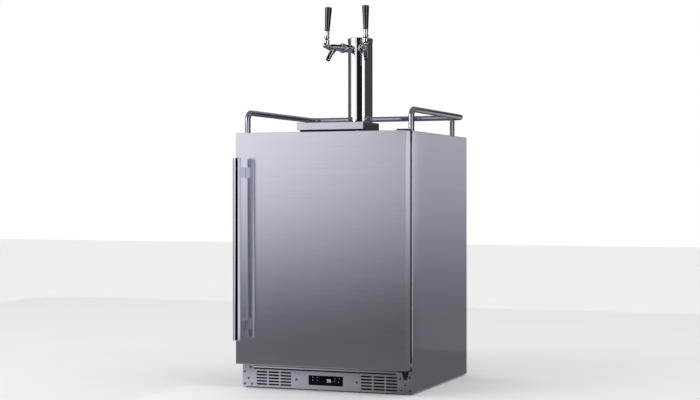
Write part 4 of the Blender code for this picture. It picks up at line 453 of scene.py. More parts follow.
def peg(shape, start, end, radius, steps=24, end_radius=None, edge=0.0):
    """A round bar between two points, with its rims rounded if an edge is given."""
    start, end = Vector(start), Vector(end)
    length = (end - start).length
    far = radius if end_radius is None else end_radius
    profile = [(0, 0), (radius, 0), (far, length), (0, length)]
    if edge:
        profile = rounded(profile, edge)
    turn_profile(shape, profile, aim(start, end - start), steps)


def block(shape, low, high):
    """A box between two corners."""
    bmesh.ops.create_cube(shape, size=1.0, matrix=Matrix.Translation((Vector(low) + Vector(high)) / 2)
                          @ Matrix.Diagonal((*(Vector(high) - Vector(low)), 1.0)))


def arc(centre, radius, start, end, steps):
    """Points in a plane on an arc between two angles, in degrees."""
    points = []
    for i in range(steps + 1):
        turn = math.radians(start + (end - start) * i / steps)
        points.append((centre[0] + radius * math.cos(turn), centre[1] + radius * math.sin(turn)))
    return points


def band(shape, one, two):
    """Faces between two closed rings with as many corners."""
    for i in range(len(one)):
        j = (i + 1) % len(one)
        shape.faces.new((one[i], one[j], two[j], two[i]))


def sweep(shape, route, radius, steps=24):
    """A round tube along a route, each ring square to the bisector of its bend."""
    points = [Vector(point) for point in route]
    rings = []
    side = None
    for i, point in enumerate(points):
        before = points[i] - points[i - 1] if i else points[1] - points[0]
        after = points[i + 1] - points[i] if i + 1 < len(points) else before
        along = (before.normalized() + after.normalized()).normalized()
        side = along.orthogonal().normalized() if side is None else side
        side = (side - along * side.dot(along)).normalized()
        up = along.cross(side)
        ring = []
        for k in range(steps):
            turn = 2 * math.pi * k / steps
            ring.append(shape.verts.new(point + (side * math.cos(turn) + up * math.sin(turn)) * radius))
        rings.append(ring)
    for one, two in zip(rings, rings[1:]):
        band(shape, one, two)
    shape.faces.new(rings[0][::-1])
    shape.faces.new(rings[-1])


def apply_modifiers(thing):
    """The mesh as its modifiers leave it, in place of the one they start from."""
    graph = bpy.context.evaluated_depsgraph_get()
    mesh = bpy.data.meshes.new_from_object(thing.evaluated_get(graph))
    thing.modifiers.clear()
    old = thing.data
    thing.data = mesh
    bpy.data.meshes.remove(old)


def combine(thing, operation, make, *values):
    """Joins a form to a thing or cuts it out: make puts the form in a bmesh, with these values."""
    shape = bmesh.new()
    make(shape, *values)
    other = loose("form", shape)
    change = thing.modifiers.new("change", "BOOLEAN")
    change.operation = operation
    change.object = other
    apply_modifiers(thing)
    bpy.data.objects.remove(other)


def tap_direction(side):
    """The way that a tap points out from the column."""
    turn = math.radians(TAP_ANGLE)
    return Vector((side * math.sin(turn), -math.cos(turn), 0))


def tap_frame(side, out=0.0, rise=0.0):
    """X runs out along the tap, Z up, from a point at a distance out along it and a rise above it."""
    along = tap_direction(side)
    across = Vector((0, 0, 1)).cross(along)
    turn = Matrix((along, across, (0, 0, 1))).transposed().to_4x4()
    return Matrix.Translation(Vector((0, TOWER_AXIS_Y, TAP_Z + rise)) + along * out) @ turn


# The camera, the floor and the light


def camera():
    """The pinhole camera that fits the photo's edges."""
    eye = Vector((1.81930468, -4.68327587, 0.636958408))
    yaw, pitch, roll = -0.371872645, -0.00224594848, -0.000597972725
    ahead = Vector((math.sin(yaw) * math.cos(pitch), math.cos(yaw) * math.cos(pitch), math.sin(pitch)))
    right = Vector((math.cos(yaw), -math.sin(yaw), 0))
    up = right.cross(ahead)
    across = right * math.cos(roll) + up * math.sin(roll)
    upward = up * math.cos(roll) - right * math.sin(roll)
    data = bpy.data.cameras.new("camera")
    data.sensor_fit = "HORIZONTAL"
    data.sensor_width = 36.0
    data.lens = 75.445
    data.clip_start = 0.05
    data.clip_end = 60.0
    thing = put("camera", data)
    turn = Matrix((across, upward, -ahead)).transposed().to_4x4()
    thing.matrix_world = Matrix.Translation(eye) @ turn
    bpy.context.scene.camera = thing


def card_finish(name, low, high, bottom, top, sideways=None):
    """Light given off by a card, from bottom to top between two heights, and across if wanted."""
    material = bpy.data.materials.new(name)
    material.use_nodes = True
    tree = material.node_tree
    tree.nodes.clear()
    place = add_node(tree, "ShaderNodeTexCoord").outputs["Object"]
    split = add_node(tree, "ShaderNodeSeparateXYZ", {"Vector": place})

    def graded(axis, values, curve):
        inputs = dict(zip(("From Min", "From Max", "To Min", "To Max"), values))
        inputs["Value"] = split.outputs[axis]
        return add_node(tree, "ShaderNodeMapRange", inputs, interpolation_type=curve).outputs["Result"]

    strength = graded("Z", (low, high, bottom, top), "SMOOTHSTEP")
    if sideways:
        inputs = {0: strength, 1: graded("X", sideways, "LINEAR")}
        strength = add_node(tree, "ShaderNodeMath", inputs, operation="MULTIPLY").outputs[0]
    glow = add_node(tree, "ShaderNodeEmission", {"Strength": strength}).outputs["Emission"]
    add_node(tree, "ShaderNodeOutputMaterial", {"Surface": glow})
    return material


def stage_sheet(name, corners, material, faces=None):
    """A sheet of the stage with these faces, or with one through all its corners."""
    mesh = bpy.data.meshes.new(name)
    mesh.from_pydata(corners, [], faces or [range(len(corners))])
    mesh.materials.append(material)
    thing = put(name, mesh)
    return thing


def mirror_card(name, corners, material, faces=None):
    """A sheet of the stage that only mirrors see."""
    thing = stage_sheet(name, corners, material, faces)
    for ray in ("camera", "diffuse", "shadow", "transmission", "volume_scatter"):
        setattr(thing, "visible_" + ray, False)


def level(low, high, z):
    """The corners of a level rectangle between two (x, y) corners."""
    return [(low[0], low[1], z), (high[0], low[1], z), (high[0], high[1], z), (low[0], high[1], z)]


def upright(left, right, y, top):
    """The corners of a rectangle that stands on the floor, square to Y."""
    return [(left, y, 0.0), (right, y, 0.0), (right, y, top), (left, y, top)]


def curved_card(name, distance, start, end, low, high, bottom, top, foot=None, head=None):
    """A bent card round the object, between two bearings from the front towards +X, in degrees.
    Its light goes from bottom to top between the heights low and high."""
    foot = low if foot is None else foot
    head = high if head is None else head
    verts = []
    steps = 24
    for i in range(steps + 1):
        turn = math.radians(start + (end - start) * i / steps)
        x, y = distance * math.sin(turn), -distance * math.cos(turn)
        verts += [(x, y, foot), (x, y, head)]
    faces = [(2 * i, 2 * i + 2, 2 * i + 3, 2 * i + 1) for i in range(steps)]
    mirror_card(name, verts, card_finish(name, low, high, bottom, top), faces)


def lamp(name, place, target, size, power):
    """An area light that mirrors don't see."""
    data = bpy.data.lights.new(name, "AREA")
    data.shape = "RECTANGLE"
    data.size, data.size_y = size
    data.energy = power
    thing = put(name, data)
    thing.matrix_world = aim(place, Vector(place) - Vector(target))
    thing.visible_glossy = False


def unlit(card, things):
    """The card's light leaves these things out, and they mirror it as black."""
    group = bpy.data.collections.new(card + "_left_out")
    for thing in things:
        group.objects.link(thing)
    bpy.data.objects[card].light_linking.receiver_collection = group
    for member in group.collection_objects:
        member.light_linking.link_state = "EXCLUDE"


def light():
    """A white world that is dimmer for diffuse rays, two soft lamps, the floor and the cards."""
    world = bpy.data.worlds.new("studio")
    world.use_nodes = True
    bpy.context.scene.world = world
    tree = world.node_tree
    tree.nodes.clear()
    rays = add_node(tree, "ShaderNodeLightPath").outputs
    seen = rays["Is Camera Ray"]
    for ray in ("Is Glossy Ray", "Is Transmission Ray"):
        seen = add_node(tree, "ShaderNodeMath", {0: seen, 1: rays[ray]}, operation="MAXIMUM").outputs[0]
    white = (1.0, 1.0, 1.0, 1.0)
    plain = add_node(tree, "ShaderNodeBackground", {"Color": white, "Strength": 0.90}).outputs[0]
    bright = add_node(tree, "ShaderNodeBackground", {"Color": white}).outputs[0]
    mix = add_node(tree, "ShaderNodeMixShader", {"Fac": seen, 1: plain, 2: bright}).outputs[0]
    add_node(tree, "ShaderNodeOutputWorld", {"Surface": mix})

    lamp("key", (-2.2, -2.6, 3.4), (0, 0, 0.5), (2.2, 2.2), 30.0)
    lamp("fill", (3.0, -1.8, 2.4), (0, 0, 0.6), (2.0, 2.0), 10.0)

    floor = Finish("pale_floor", (0.93, 0.93, 0.93), 0.0, 0.6)
    floor.set("Base Color", floor.tint(floor.noise((2, 2, 2)), 0.01))
    floor.shader.inputs["Specular IOR Level"].default_value = 0.1
    reach = 14.0
    stage_sheet("floor", level((-reach, -reach), (reach, reach), 0), floor.material)

    mirrored_room()


def floor_card(name, low, high, rise, left, right):
    """A level card just over the floor, its light going from left to right."""
    finish = card_finish(name, -1, 0, 1, 1, (low[0], high[0], left, right))
    mirror_card(name, level(low, high, rise), finish)


# Flat cards in front of the door: left and right end
DOOR_CARDS = (("door_card_left", -1.30, -0.70), ("door_card", -0.70, 0.05))
# Flat cards behind, that the right side panel mirrors: left and right end, light at the bottom and the top
SIDE_CARDS = (("side_card", 0.32, 0.755, 0.19, 0.54), ("edge_card", 0.755, 1.9, 0.14, 1.05))
# Bent cards: the values that curved_card takes
CURVED_CARDS = (
    ("door_edge_card", 1.55, 0, 12, 0.0, 0.95, 0.25, 0.95),
    ("light_left", 1.5, -84, -53, 0.0, 0.95, 0.50, 0.60),
    ("near_right", 1.55, 12, 32.5, 0.10, 0.80, 0.20, 1.10, 0.0, 0.86),
    ("light_right", 1.55, 32.5, 98, 0.0, 0.86, 0.80, 0.80),
    ("dark_front", 3.2, -14, 39, 0.0, 3.4, 0.012, 0.012),
    ("grey_right", 3.4, 64, 201, 1.75, 2.20, 0.06, 0.33, 0.0, 3.4),
    ("grey_left", 3.4, 201, 280, 1.75, 2.20, 0.09, 0.25, 0.0, 3.4),
    ("strip_left", 3.1, -52, -40, 0.9, 2.6, 6.0, 6.0),
    ("strip_left_low", 1.5, -53, -40, 0.0, 0.95, 0.70, 1.0),
    ("strip_right", 3.1, 46, 54, 0.9, 2.6, 3.0, 3.0),
)


def mirrored_room():
    """What the metal mirrors: graded cards beside the cabinet, and dark walls with bright gaps."""
    ahead, behind = -1.7, 1.1
    for name, left, right in DOOR_CARDS:
        grade = card_finish(name, 0.0, 0.95, 0.17, 1.06, (-1.00, -0.15, 1.06, 0.62))
        mirror_card(name, upright(left, right, ahead, 1.0), grade)
    for name, left, right, bottom, top in SIDE_CARDS:
        mirror_card(name, upright(left, right, behind, 0.93), card_finish(name, 0.10, 0.95, bottom, top))
    for values in CURVED_CARDS:
        curved_card(*values)
    reach, height, dim = 3.6, 3.42, 0.26
    overhead = card_finish("ceiling_card", 0, 1, dim, dim)
    mirror_card("ceiling_card", level((-reach, -reach), (reach, reach), height), overhead)
    far, rise, near, left, right = 3.4, 0.003, -0.64, -0.50, 0.305
    floor_card("floor_card_front", (-far, -far), (far, near), rise, 0.15, 0.15)
    floor_card("floor_card_plate", (left, near), (right, FRONT - 0.002), rise, 0.85, 0.09)
    floor_card("floor_card_left", (-far, near), (left, far), rise, 0.20, 0.20)
    floor_card("floor_card_right", (right, near), (far, far), rise, 0.15, 0.15)
    floor_card("floor_card_back", (left, BACK + 0.002), (right, far), rise, 0.18, 0.15)


def smooth_route(knots, steps):
    """Points along a Catmull-Rom curve through the knots."""
    knots = [Vector(point) for point in knots]
    knots = [2 * knots[0] - knots[1]] + knots + [2 * knots[-1] - knots[-2]]
    points = []
    for a, b, c, d in zip(knots, knots[1:], knots[2:], knots[3:]):
        for i in range(steps):
            t = i / steps
            bend = (2 * a - 5 * b + 4 * c - d) * t ** 2 + (3 * b - a - 3 * c + d) * t ** 3
            points.append((2 * b + (c - a) * t + bend) / 2)
    return points + [knots[-2]]


# The beer lines drop from the taps' shanks to the keg couplers, the gas lines from the regulator:
# diameter, length, slot and the points that each runs through
HOSES = {
    "beer_line_left": (0.0096, 0.912, "clear_hose", (
        (-0.0113, 0.0601, 1.1232), (-0.0113, 0.0601, 1.0838), (-0.0113, 0.0601, 0.9072),
        (-0.0113, 0.0601, 0.8478), (-0.0113, 0.0660, 0.8004), (-0.0113, 0.0901, 0.7762),
        (-0.0056, 0.1301, 0.7704), (0.0225, 0.2132, 0.7664), (0.0450, 0.2453, 0.7212),
        (0.0450, 0.2453, 0.6564), (0.0450, 0.2453, 0.4390), (0.0450, 0.2453, 0.3889),
        (0.0450, 0.2453, 0.3589))),
    "beer_line_right": (0.0096, 0.954, "clear_hose", (
        (0.0113, 0.0601, 1.1232), (0.0113, 0.0601, 1.0838), (0.0113, 0.0601, 0.9072),
        (0.0113, 0.0601, 0.8478), (0.0113, 0.0660, 0.8004), (0.0113, 0.0901, 0.7762),
        (0.0251, 0.1301, 0.7704), (0.0945, 0.2132, 0.7664), (0.1500, 0.2453, 0.7212),
        (0.1500, 0.2453, 0.6564), (0.1500, 0.2453, 0.4390), (0.1500, 0.2453, 0.3889),
        (0.1500, 0.2453, 0.3589))),
    "gas_line_left": (0.0080, 0.348, "red_hose", (
        (-0.1130, 0.2500, 0.5353), (-0.1130, 0.2500, 0.5052), (-0.1109, 0.2510, 0.4454),
        (-0.0910, 0.2580, 0.3906), (-0.0380, 0.2799, 0.3366), (0.0230, 0.2970, 0.2946),
        (0.0399, 0.2981, 0.2826), (0.0450, 0.2890, 0.2806), (0.0450, 0.2771, 0.2806))),
    "gas_line_right": (0.0080, 0.521, "red_hose", (
        (-0.1130, 0.2720, 0.5353), (-0.1130, 0.2720, 0.5052), (-0.1119, 0.2739, 0.4153),
        (-0.1030, 0.2839, 0.3206), (-0.0680, 0.3030, 0.2727), (0.0301, 0.3080, 0.2625),
        (0.1050, 0.3061, 0.2666), (0.1400, 0.3011, 0.2775), (0.1500, 0.2900, 0.2806),
        (0.1500, 0.2771, 0.2806))),
}


def hoses():
    """The four lines, each a cord piece in place of its solid."""
    for node, (diameter, length, slot, route) in HOSES.items():
        curve = bpy.data.curves.new(node + "_tube", "CURVE")
        curve.dimensions = "3D"
        curve.bevel_depth = diameter / 2
        curve.bevel_resolution = 6
        curve.use_fill_caps = True
        points = smooth_route(route, 8)
        spline = curve.splines.new("POLY")
        spline.points.add(len(points) - 1)
        for knot, point in zip(spline.points, points):
            knot.co = (*point, 1.0)
        tube = put(node + "_tube", curve)
        enlist(tube, slot, "cabinet", [node])


camera()
hoses()
light()


# Pieces that keep the solid's own mesh


# Widths of the bevels on their sharp edges
BEVELS = {
    0.0002: ["kick_plate"],
    0.0003: ["side_panel_right", "display_window"],
    0.0004: ["drip_tray"],
    0.0005: ["top_panel", "front_crossbar", "hinge_bracket_upper", "hinge_bracket_lower", "power_inlet"],
    0.0006: ["side_panel_left", "evaporator_cover"],
    0.0008: ["condenser_fan_shroud", "coupler_lever_left", "coupler_lever_right"],
}


def dress_nodes():
    """Every solid's own mesh takes its look and softer edges."""
    worn = {node: LOOKS[slot] for slot, nodes in SLOT_NODES.items() for node in nodes}
    worn.update({node: FLAT_STEEL for node in FLAT_NODES})
    bevels = {node: width for width, nodes in BEVELS.items() for node in nodes}
    for name, node in NODES.items():
        dress(node, worn.get(name, LOOKS["black_plastic"]))
        soften(node, bevels.get(name, 0.0))


dress_nodes()


# The rail and the door's handle


def guard_rail():
    """One bent tube from the right front foot round the back to the left one, on two rear posts."""
    x, bend, corner = HALF - 0.010, 0.026, 0.038
    front, back, foot, z = FRONT + 0.020, BACK - 0.013, TOP + SEAT, TOP + 0.071
    right = [(x, front, foot), (x, front, TOP + 0.02)]
    right += [(x, y, up) for y, up in arc((front + bend, z - bend), bend, 180, 90, 14)]
    right += [(across, y, z) for across, y in arc((x - corner, back - corner), corner, 0, 90, 16)]
    left = [(-across, y, up) for across, y, up in reversed(right)]
    shape = bmesh.new()
    sweep(shape, right + left, 0.0095, 32)
    rail = loose("guard_rail_tube", shape)
    for side in (-1, 1):
        combine(rail, "UNION", peg, (side * 0.250, back, foot), (side * 0.250, back, z), 0.0085, 32)
    shade(rail)
    # The rail wears the darker copy of polished steel: painted shade.
    enlist(rail, "polished_steel", "cabinet", ["guard_rail"], RAIL_STEEL_SHADED)


def door_handle():
    """A round bar on two flat posts."""
    x, y, low, top, inset = -0.2685, -0.34775, 0.167, 0.764, 0.047
    size = Vector((0.010, DOOR_FACE - y - 0.0116, 0.034))
    shape = bmesh.new()
    peg(shape, (x, y, low), (x, y, top), 0.0135, FINE, edge=0.0022)
    bar = loose("door_handle_bar", shape)
    posts = bmesh.new()
    for z in (low + inset, top - inset):
        middle = Vector((x, (y + DOOR_FACE) / 2 + 0.0055, z))
        block(posts, middle - size / 2, middle + size / 2)
    bmesh.ops.bevel(posts, geom=posts.edges[:], offset=0.0010, segments=2, affect="EDGES")
    finish_piece("door_handle_posts", posts, "polished_steel", "door")
    shade(bar)
    enlist(bar, "polished_steel", "door", ["door_handle"])


# The tower and its taps


def tower():
    """The column with its flange and the holes for the shanks, and its cap."""
    place = Matrix.Translation((0, TOWER_AXIS_Y, 0))
    inner, foot, flange_r, flange_h = TOWER_R - 0.002, TOP + SEAT, 0.058, 0.006
    profile = rounded([
        (inner, foot), (flange_r, foot), (flange_r, foot + flange_h), (TOWER_R, foot + flange_h),
        (TOWER_R, COLUMN_TOP), (inner, COLUMN_TOP), (inner, foot),
    ], 0.0012)
    shape = bmesh.new()
    turn_profile(shape, profile[:-1], place, 96, closed=True)
    column = loose("tower_column_tube", shape)
    for _, side in SIDES:
        along = tap_direction(side)
        middle = Vector((0, TOWER_AXIS_Y, TAP_Z))
        combine(column, "DIFFERENCE", peg, middle + along * 0.03, middle + along * 0.05, 0.0098, 32)
    shade(column)
    enlist(column, "chrome", "cabinet", ["tower_column"])

    rim, base = TOWER_R + 0.0008, COLUMN_TOP + SEAT
    profile = [(0, base - 0.005), (inner - SEAT, base - 0.005), (inner - SEAT, base)]
    profile += rounded([(inner, base), (rim, base), (rim, TOWER_TOP), (0, TOWER_TOP)], 0.003, 6)[1:]
    shape = bmesh.new()
    turn_profile(shape, profile, place, 96)
    finish_piece("tower_cap_dome", shape, "chrome", "cabinet", ["tower_cap"])


def tap_shank(name, side):
    """The bored shank through the column's wall, its nut, and the elbow for the beer line."""
    frame = tap_frame(side) @ Matrix.Rotation(math.radians(90), 4, "Y")
    profile = rounded([
        (0.0030, 0.024), (0.0095, 0.024), (0.0095, TOWER_R + SEAT), (0.0135, TOWER_R + SEAT),
        (0.0135, 0.0725), (0.0112, 0.0725), (0.0112, 0.076), (0.0066, 0.076), (0.0066, 0.050),
        (0.0030, 0.050), (0.0030, 0.024),
    ], 0.0005)
    shape = bmesh.new()
    turn_profile(shape, profile[:-1], frame, 48, closed=True)
    shank = loose("tap_shank_tube_" + name, shape)
    nut = [(0, 0.030), (0.0135, 0.030), (0.0135, 0.037), (0, 0.037)]
    combine(shank, "UNION", turn_profile, nut, frame, 6)
    ends = [tap_frame(side, 0.024, rise).translation for rise in (-0.024, 0.007)]
    combine(shank, "UNION", peg, *ends, 0.0046, 32, 0.0070)
    shade(shank)
    enlist(shank, "chrome", "cabinet", ["tap_shank_" + name])


def coupling_nut(name, side):
    """A ring nut with rounded lobes, that pulls the faucet onto its shank."""
    profile = rounded([
        (0.0115, 0.0735), (0.0166, 0.0735), (0.0166, 0.0890), (0.0117, 0.0890), (0.0117, 0.0844),
        (0.0139, 0.0844), (0.0139, 0.0766), (0.0115, 0.0766), (0.0115, 0.0735),
    ], 0.0022, 4)[:-1]
    frame = tap_frame(side) @ Matrix.Rotation(math.radians(90), 4, "Y")
    shape = bmesh.new()

    def dent(k, turn):
        if profile[k][0] < 0.0145:
            return 0.0
        return 0.0017 * (0.5 - 0.5 * math.cos(10 * turn)) ** 2

    turn_profile(shape, profile, frame, 120, True, dent)
    finish_piece("coupling_nut_ring_" + name, shape, "chrome", "cabinet", ["coupling_nut_" + name])


# Places in a faucet, along the tap, across it and up
HEAD = (0.1585, 0, 0.0044)
SPOUT_ROOT = (0.121, 0, -0.002)
SPOUT_TIP = (0.1485, 0, -0.0457)


def faucet(name, side):
    """A cast body, made of turned forms run together, with a bored spout and a socket for the lever."""
    lay = Matrix.Rotation(math.radians(90), 4, "Y")
    lever_foot = Matrix.Translation((LEVER_AT, 0, 0))
    steps = 40
    shape = bmesh.new()
    back = 0.0769
    barrel = [(0, back), (0.0136, back), (0.0136, back + 0.0072), (0.0114, back + 0.0073),
              (0.0114, 0.089), (0.0106, 0.130), (0.0070, 0.1355), (0, 0.1355)]
    turn_profile(shape, barrel, lay, steps)
    peg(shape, (0.130, 0, -0.004), HEAD, 0.0105, steps, 0.0086)
    turn_profile(shape, ball(0.0088), Matrix.Translation(HEAD), steps)
    peg(shape, (LEVER_AT, 0, -0.002), (LEVER_AT, 0, 0.0165), 0.0096, steps)
    peg(shape, SPOUT_ROOT, SPOUT_TIP, 0.0088, steps, 0.0074)
    peg(shape, (0.1135, 0, -0.0035), (0.1300, 0, -0.0200), 0.0072, 32)
    bonnet = [(0, 0.0157), (0.0098, 0.0157), (0.0098, 0.0235), (0.0088, 0.0245), (0, 0.0245)]
    turn_profile(shape, bonnet, lever_foot, steps)
    body = loose("faucet_cast_body_" + name, shape)
    remesh = body.modifiers.new("remesh", "REMESH")
    remesh.mode = "VOXEL"
    remesh.voxel_size = 0.0007
    smooth = body.modifiers.new("smooth", "SMOOTH")
    smooth.factor = 0.5
    smooth.iterations = 14
    apply_modifiers(body)
    inner = 0.0079
    cup = [(0, 0.0002), (0.0091, 0.0002), (0.0091, 0.0120), (inner, 0.01775), (inner, 0.0215),
           (0.0074, 0.0245), (0.0074, 0.0285), (0, 0.0285)]
    combine(body, "DIFFERENCE", turn_profile, cup, lever_foot, steps)
    combine(body, "DIFFERENCE", peg, (0.070, 0, 0), (0.1571, 0, 0), 0.0042, 24)
    tip = Vector(SPOUT_TIP)
    down = (tip - Vector(SPOUT_ROOT)).normalized()
    combine(body, "DIFFERENCE", peg, tip - down * 0.018, tip + down * 0.004, 0.0058, 32)
    body.data.transform(tap_frame(side))
    shade(body, math.radians(50))
    enlist(body, "chrome", "cabinet", ["faucet_body_" + name])


def tap_lever(name, side):
    """The lever's ball, stem and ferrule, and the black grip on them."""
    lean = Matrix.Rotation(-math.radians(LEVER_LEAN), 4, "Y")
    place = tap_frame(side, LEVER_AT, PIVOT_RISE) @ lean
    shape = bmesh.new()
    turn_profile(shape, ball(0.0075), place, 40)
    lever = loose("tap_lever_stem_" + name, shape)
    profile = [(0, -0.0207), (0.0018, -0.0207), (0.0018, -0.0037), (0.0030, 0), (0.0030, 0.0065),
               (0.0092, 0.0065), (0.0092, 0.0095), (0.0080, 0.0103), (0.0092, 0.0111), (0.0092, 0.0140),
               (0.0068, 0.0147), (0.0072, 0.0200), (0.0081, 0.0295), (0.0085, 0.0320), (0, 0.0320)]
    combine(lever, "UNION", turn_profile, rounded(profile, 0.0006), place, 48)
    shade(lever)
    enlist(lever, "chrome", "tap_" + name, ["tap_lever_" + name])

    profile = [(0, 0.0323), (0.0086, 0.0323), (0.0089, 0.040), (0.0101, 0.070), (0.0118, 0.103),
               (0.0122, 0.1138), (0, 0.1138)]
    shape = bmesh.new()
    turn_profile(shape, rounded(profile, 0.0028, 5), place, FINE)
    finish_piece("tap_handle_grip_" + name, shape, "black_lacquer", "tap_" + name, ["tap_handle_" + name])


# Screws, painted shadow strips and the display's figures


def screw_head(radius):
    """A domed head with a cross recess, its seat at the origin, that faces +Z."""
    rows, height = 5, radius * 0.55
    dome = [(0, 0), (radius, 0), (radius, height * 0.25)]
    for i in range(1, rows + 1):
        turn = math.pi / 2 * i / rows
        dome.append((radius * math.cos(turn) if i < rows else 0, height * (0.25 + 0.75 * math.sin(turn))))
    shape = bmesh.new()
    turn_profile(shape, dome, None, 24)
    head = loose("screw_head", shape)
    arm, slot = radius * 0.55, radius * 0.11
    for one, two in ((arm, slot), (slot, arm)):
        combine(head, "DIFFERENCE", block, (-one, -two, height * 0.45), (one, two, height * 1.2))
    return head


def fixings(name, places, direction, radius, finish=None):
    """Screw heads at these points, each turned a little differently."""
    head = screw_head(radius)
    shape = bmesh.new()
    for i, place in enumerate(places):
        before = len(shape.verts)
        shape.from_mesh(head.data)
        shape.verts.ensure_lookup_table()
        turned = aim(place, direction) @ Matrix.Rotation(0.7 * i, 4, "Z")
        bmesh.ops.transform(shape, matrix=turned, verts=shape.verts[before:])
    bpy.data.objects.remove(head)
    finish_piece(name, shape, "polished_steel", "cabinet", (), finish)


def small_fixings():
    """The screws of the kick plate, the tower's flange and the back panel."""
    plate = [(-0.292, 0.049), (-0.292, 0.0085), (-0.279, 0.0275), (-0.266, 0.0085), (-0.104, 0.0295),
             (0.109, 0.0297), (0.2915, 0.0538), (0.2755, 0.0292), (0.262, 0.0118), (0.291, 0.0118),
             (0.2585, 0.0480)]
    heads = [(x, FRONT, z + LOW) for x, z in plate] + [(-0.2705, CROSSBAR_FACE, 0.0680)]
    # The kick plate's screws take the dark copy: painted shade.
    fixings("kick_plate_screws", heads, (0, -1, 0), 0.0040, finish=SHADED_SCREW_METAL)
    spread = 0.050 / math.sqrt(2)
    corners = [(x * spread, TOWER_AXIS_Y + y * spread, TOP + 0.0063) for x in (-1, 1) for y in (-1, 1)]
    fixings("tower_flange_screws", corners, (0, 0, 1), 0.0034)
    back = [(side * 0.288, BACK, z) for side in (-1, 1) for z in (0.06, 0.30, 0.56, 0.80)]
    back += [(x, BACK, 0.828) for x in (-0.15, 0.15)]
    fixings("back_panel_screws", back, (0, 1, 0), 0.0042)


def crossbar_bead():
    """The pressed bead along the crossbar, over the kick plate, and under it a thin black strip that is
    painted shadow in the gap above the kick plate.
    """
    shape = bmesh.new()
    start, end, middle, half, depth = -0.262, 0.2425, 0.0712, 0.0040, 0.0024
    rows = 12
    rings = []
    for x, size in ((start, 0.2), (start + 0.003, 1.0), (end, 1.0)):
        ring = []
        for i in range(rows + 1):
            turn = math.pi * i / rows
            y = CROSSBAR_FACE - 0.0001 - depth * size * math.sin(turn)
            ring.append(shape.verts.new((x, y, middle + half * size * math.cos(turn))))
        rings.append(ring)
    for one, two in zip(rings, rings[1:]):
        band(shape, one, two)
    shape.faces.new(rings[0])
    shape.faces.new(rings[-1][::-1])
    finish_piece("crossbar_bead", shape, "trim_steel", "cabinet")
    # Painted shadow: a thin black strip where the gap over the kick plate is in shade.
    strip = bmesh.new()
    block(strip, (start, CROSSBAR_FACE - 0.0008, 0.0634), (end, CROSSBAR_FACE, middle - half))
    finish_piece("crossbar_seal", strip, "rubber", "cabinet")


def door_gap_shadow_strips():
    """Black strips on the cabinet's front edges in the gap at each side of the door: painted shade, where
    the gap is dark.
    """
    inner, outer, face, low, top = 0.2872, 0.2966, -0.2460, 0.103, 0.828
    # Painted shade: each strip is black only because the gap beside the door is in shadow.
    for name, side in SIDES:
        strip = bmesh.new()
        left, right = sorted((side * inner, side * outer))
        block(strip, (left, face, low), (right, CROSSBAR_FACE - 0.0002, top))
        bmesh.ops.bevel(strip, geom=strip.edges[:], offset=0.0012, segments=2, affect="EDGES")
        finish_piece("door_buffer_" + name, strip, "rubber", "cabinet")


# The strokes that a figure lights, as (across, up, lies level) in shares of its size
THREE = [(0.5, 1, True), (1, 0.75, False), (1, 0.25, False), (0.5, 0, True), (0.5, 0.5, True)]
EIGHT = THREE[:4] + [(0, 0.25, False), (0, 0.75, False)] + THREE[4:]


def lamp_bar(shape, x, z, half):
    """A thin lit bar on the control's glass: half gives half its width and half its height."""
    back = FRONT - 0.0006
    block(shape, (x - half[0], back - 0.0001, z - half[1]), (x + half[0], back, z + half[1]))


def display_figures():
    """Lit figures and key marks on the control's dark glass."""
    left, right, top, bottom = -0.0605, 0.0605, 0.0497, 0.0184
    wide, high = right - left, top - bottom
    blue = glowing("display_blue_white", (0.55, 0.68, 1.0), 1.2)
    pale = glowing("display_key_marks", (0.80, 0.86, 0.95), 0.9)
    figure_w, figure_h, line, pitch = 0.0048, 0.0092, 0.0008, 0.0084
    lit = bmesh.new()
    for k, strokes in enumerate((THREE, EIGHT)):
        x = left + wide * 0.530 + k * pitch
        z = bottom + high * 0.36
        for across, up, lies in strokes:
            half = (figure_w * 0.40, line / 2) if lies else (line / 2, figure_h * 0.21)
            lamp_bar(lit, x + figure_w * across, z + figure_h * up, half)
    lamp_bar(lit, left + wide * 0.688, bottom + high * 0.36, (line / 2, line / 2))
    finish_piece("display_figures", lit, "display_glass", "cabinet", (), blue, False)
    marks = bmesh.new()
    for across, down in ((0.12, 0.18), (0.262, 0.18), (0.12, 0.48), (0.262, 0.48), (0.773, 0.20),
                         (0.90, 0.20), (0.88, 0.55), (0.752, 0.50)):
        lamp_bar(marks, left + wide * across, top - high * down, (0.0014, 0.0003))
    finish_piece("display_key_marks", marks, "display_glass", "cabinet", (), pale, False)


# What stands inside the cabinet


def gas_cylinder():
    """The bottle with its valve block and spindle, one solid."""
    x, y, base, neck = -0.180, 0.26095, 0.2506, 0.5506
    place = Matrix.Translation((x, y, 0))
    profile = [(0, base + 0.004), (0.040, base + 0.004), (0.044, base), (0.0505, base),
               (0.0555, base + 0.006)]
    for i in range(13):
        turn = math.radians(90 * i / 12)
        profile.append((0.014 + 0.0415 * math.cos(turn), neck - 0.045 * (1 - math.sin(turn))))
    profile += [(0.014, neck + 0.001), (0, neck + 0.001)]
    shape = bmesh.new()
    turn_profile(shape, profile, place, FINE)
    bottle = loose("gas_cylinder_bottle", shape)

    def valve(shape):
        block(shape, (x - 0.011, y - 0.011, neck), (x + 0.011, y + 0.011, neck + 0.042))
        bmesh.ops.bevel(shape, geom=shape.edges[:], offset=0.0016, segments=2, affect="EDGES")

    combine(bottle, "UNION", valve)
    combine(bottle, "UNION", peg, (x, y, neck + 0.040), (x, y, neck + 0.054), 0.0040, 24, None, 0.0006)
    shade(bottle)
    enlist(bottle, "aluminium", "cabinet", ["gas_cylinder"])


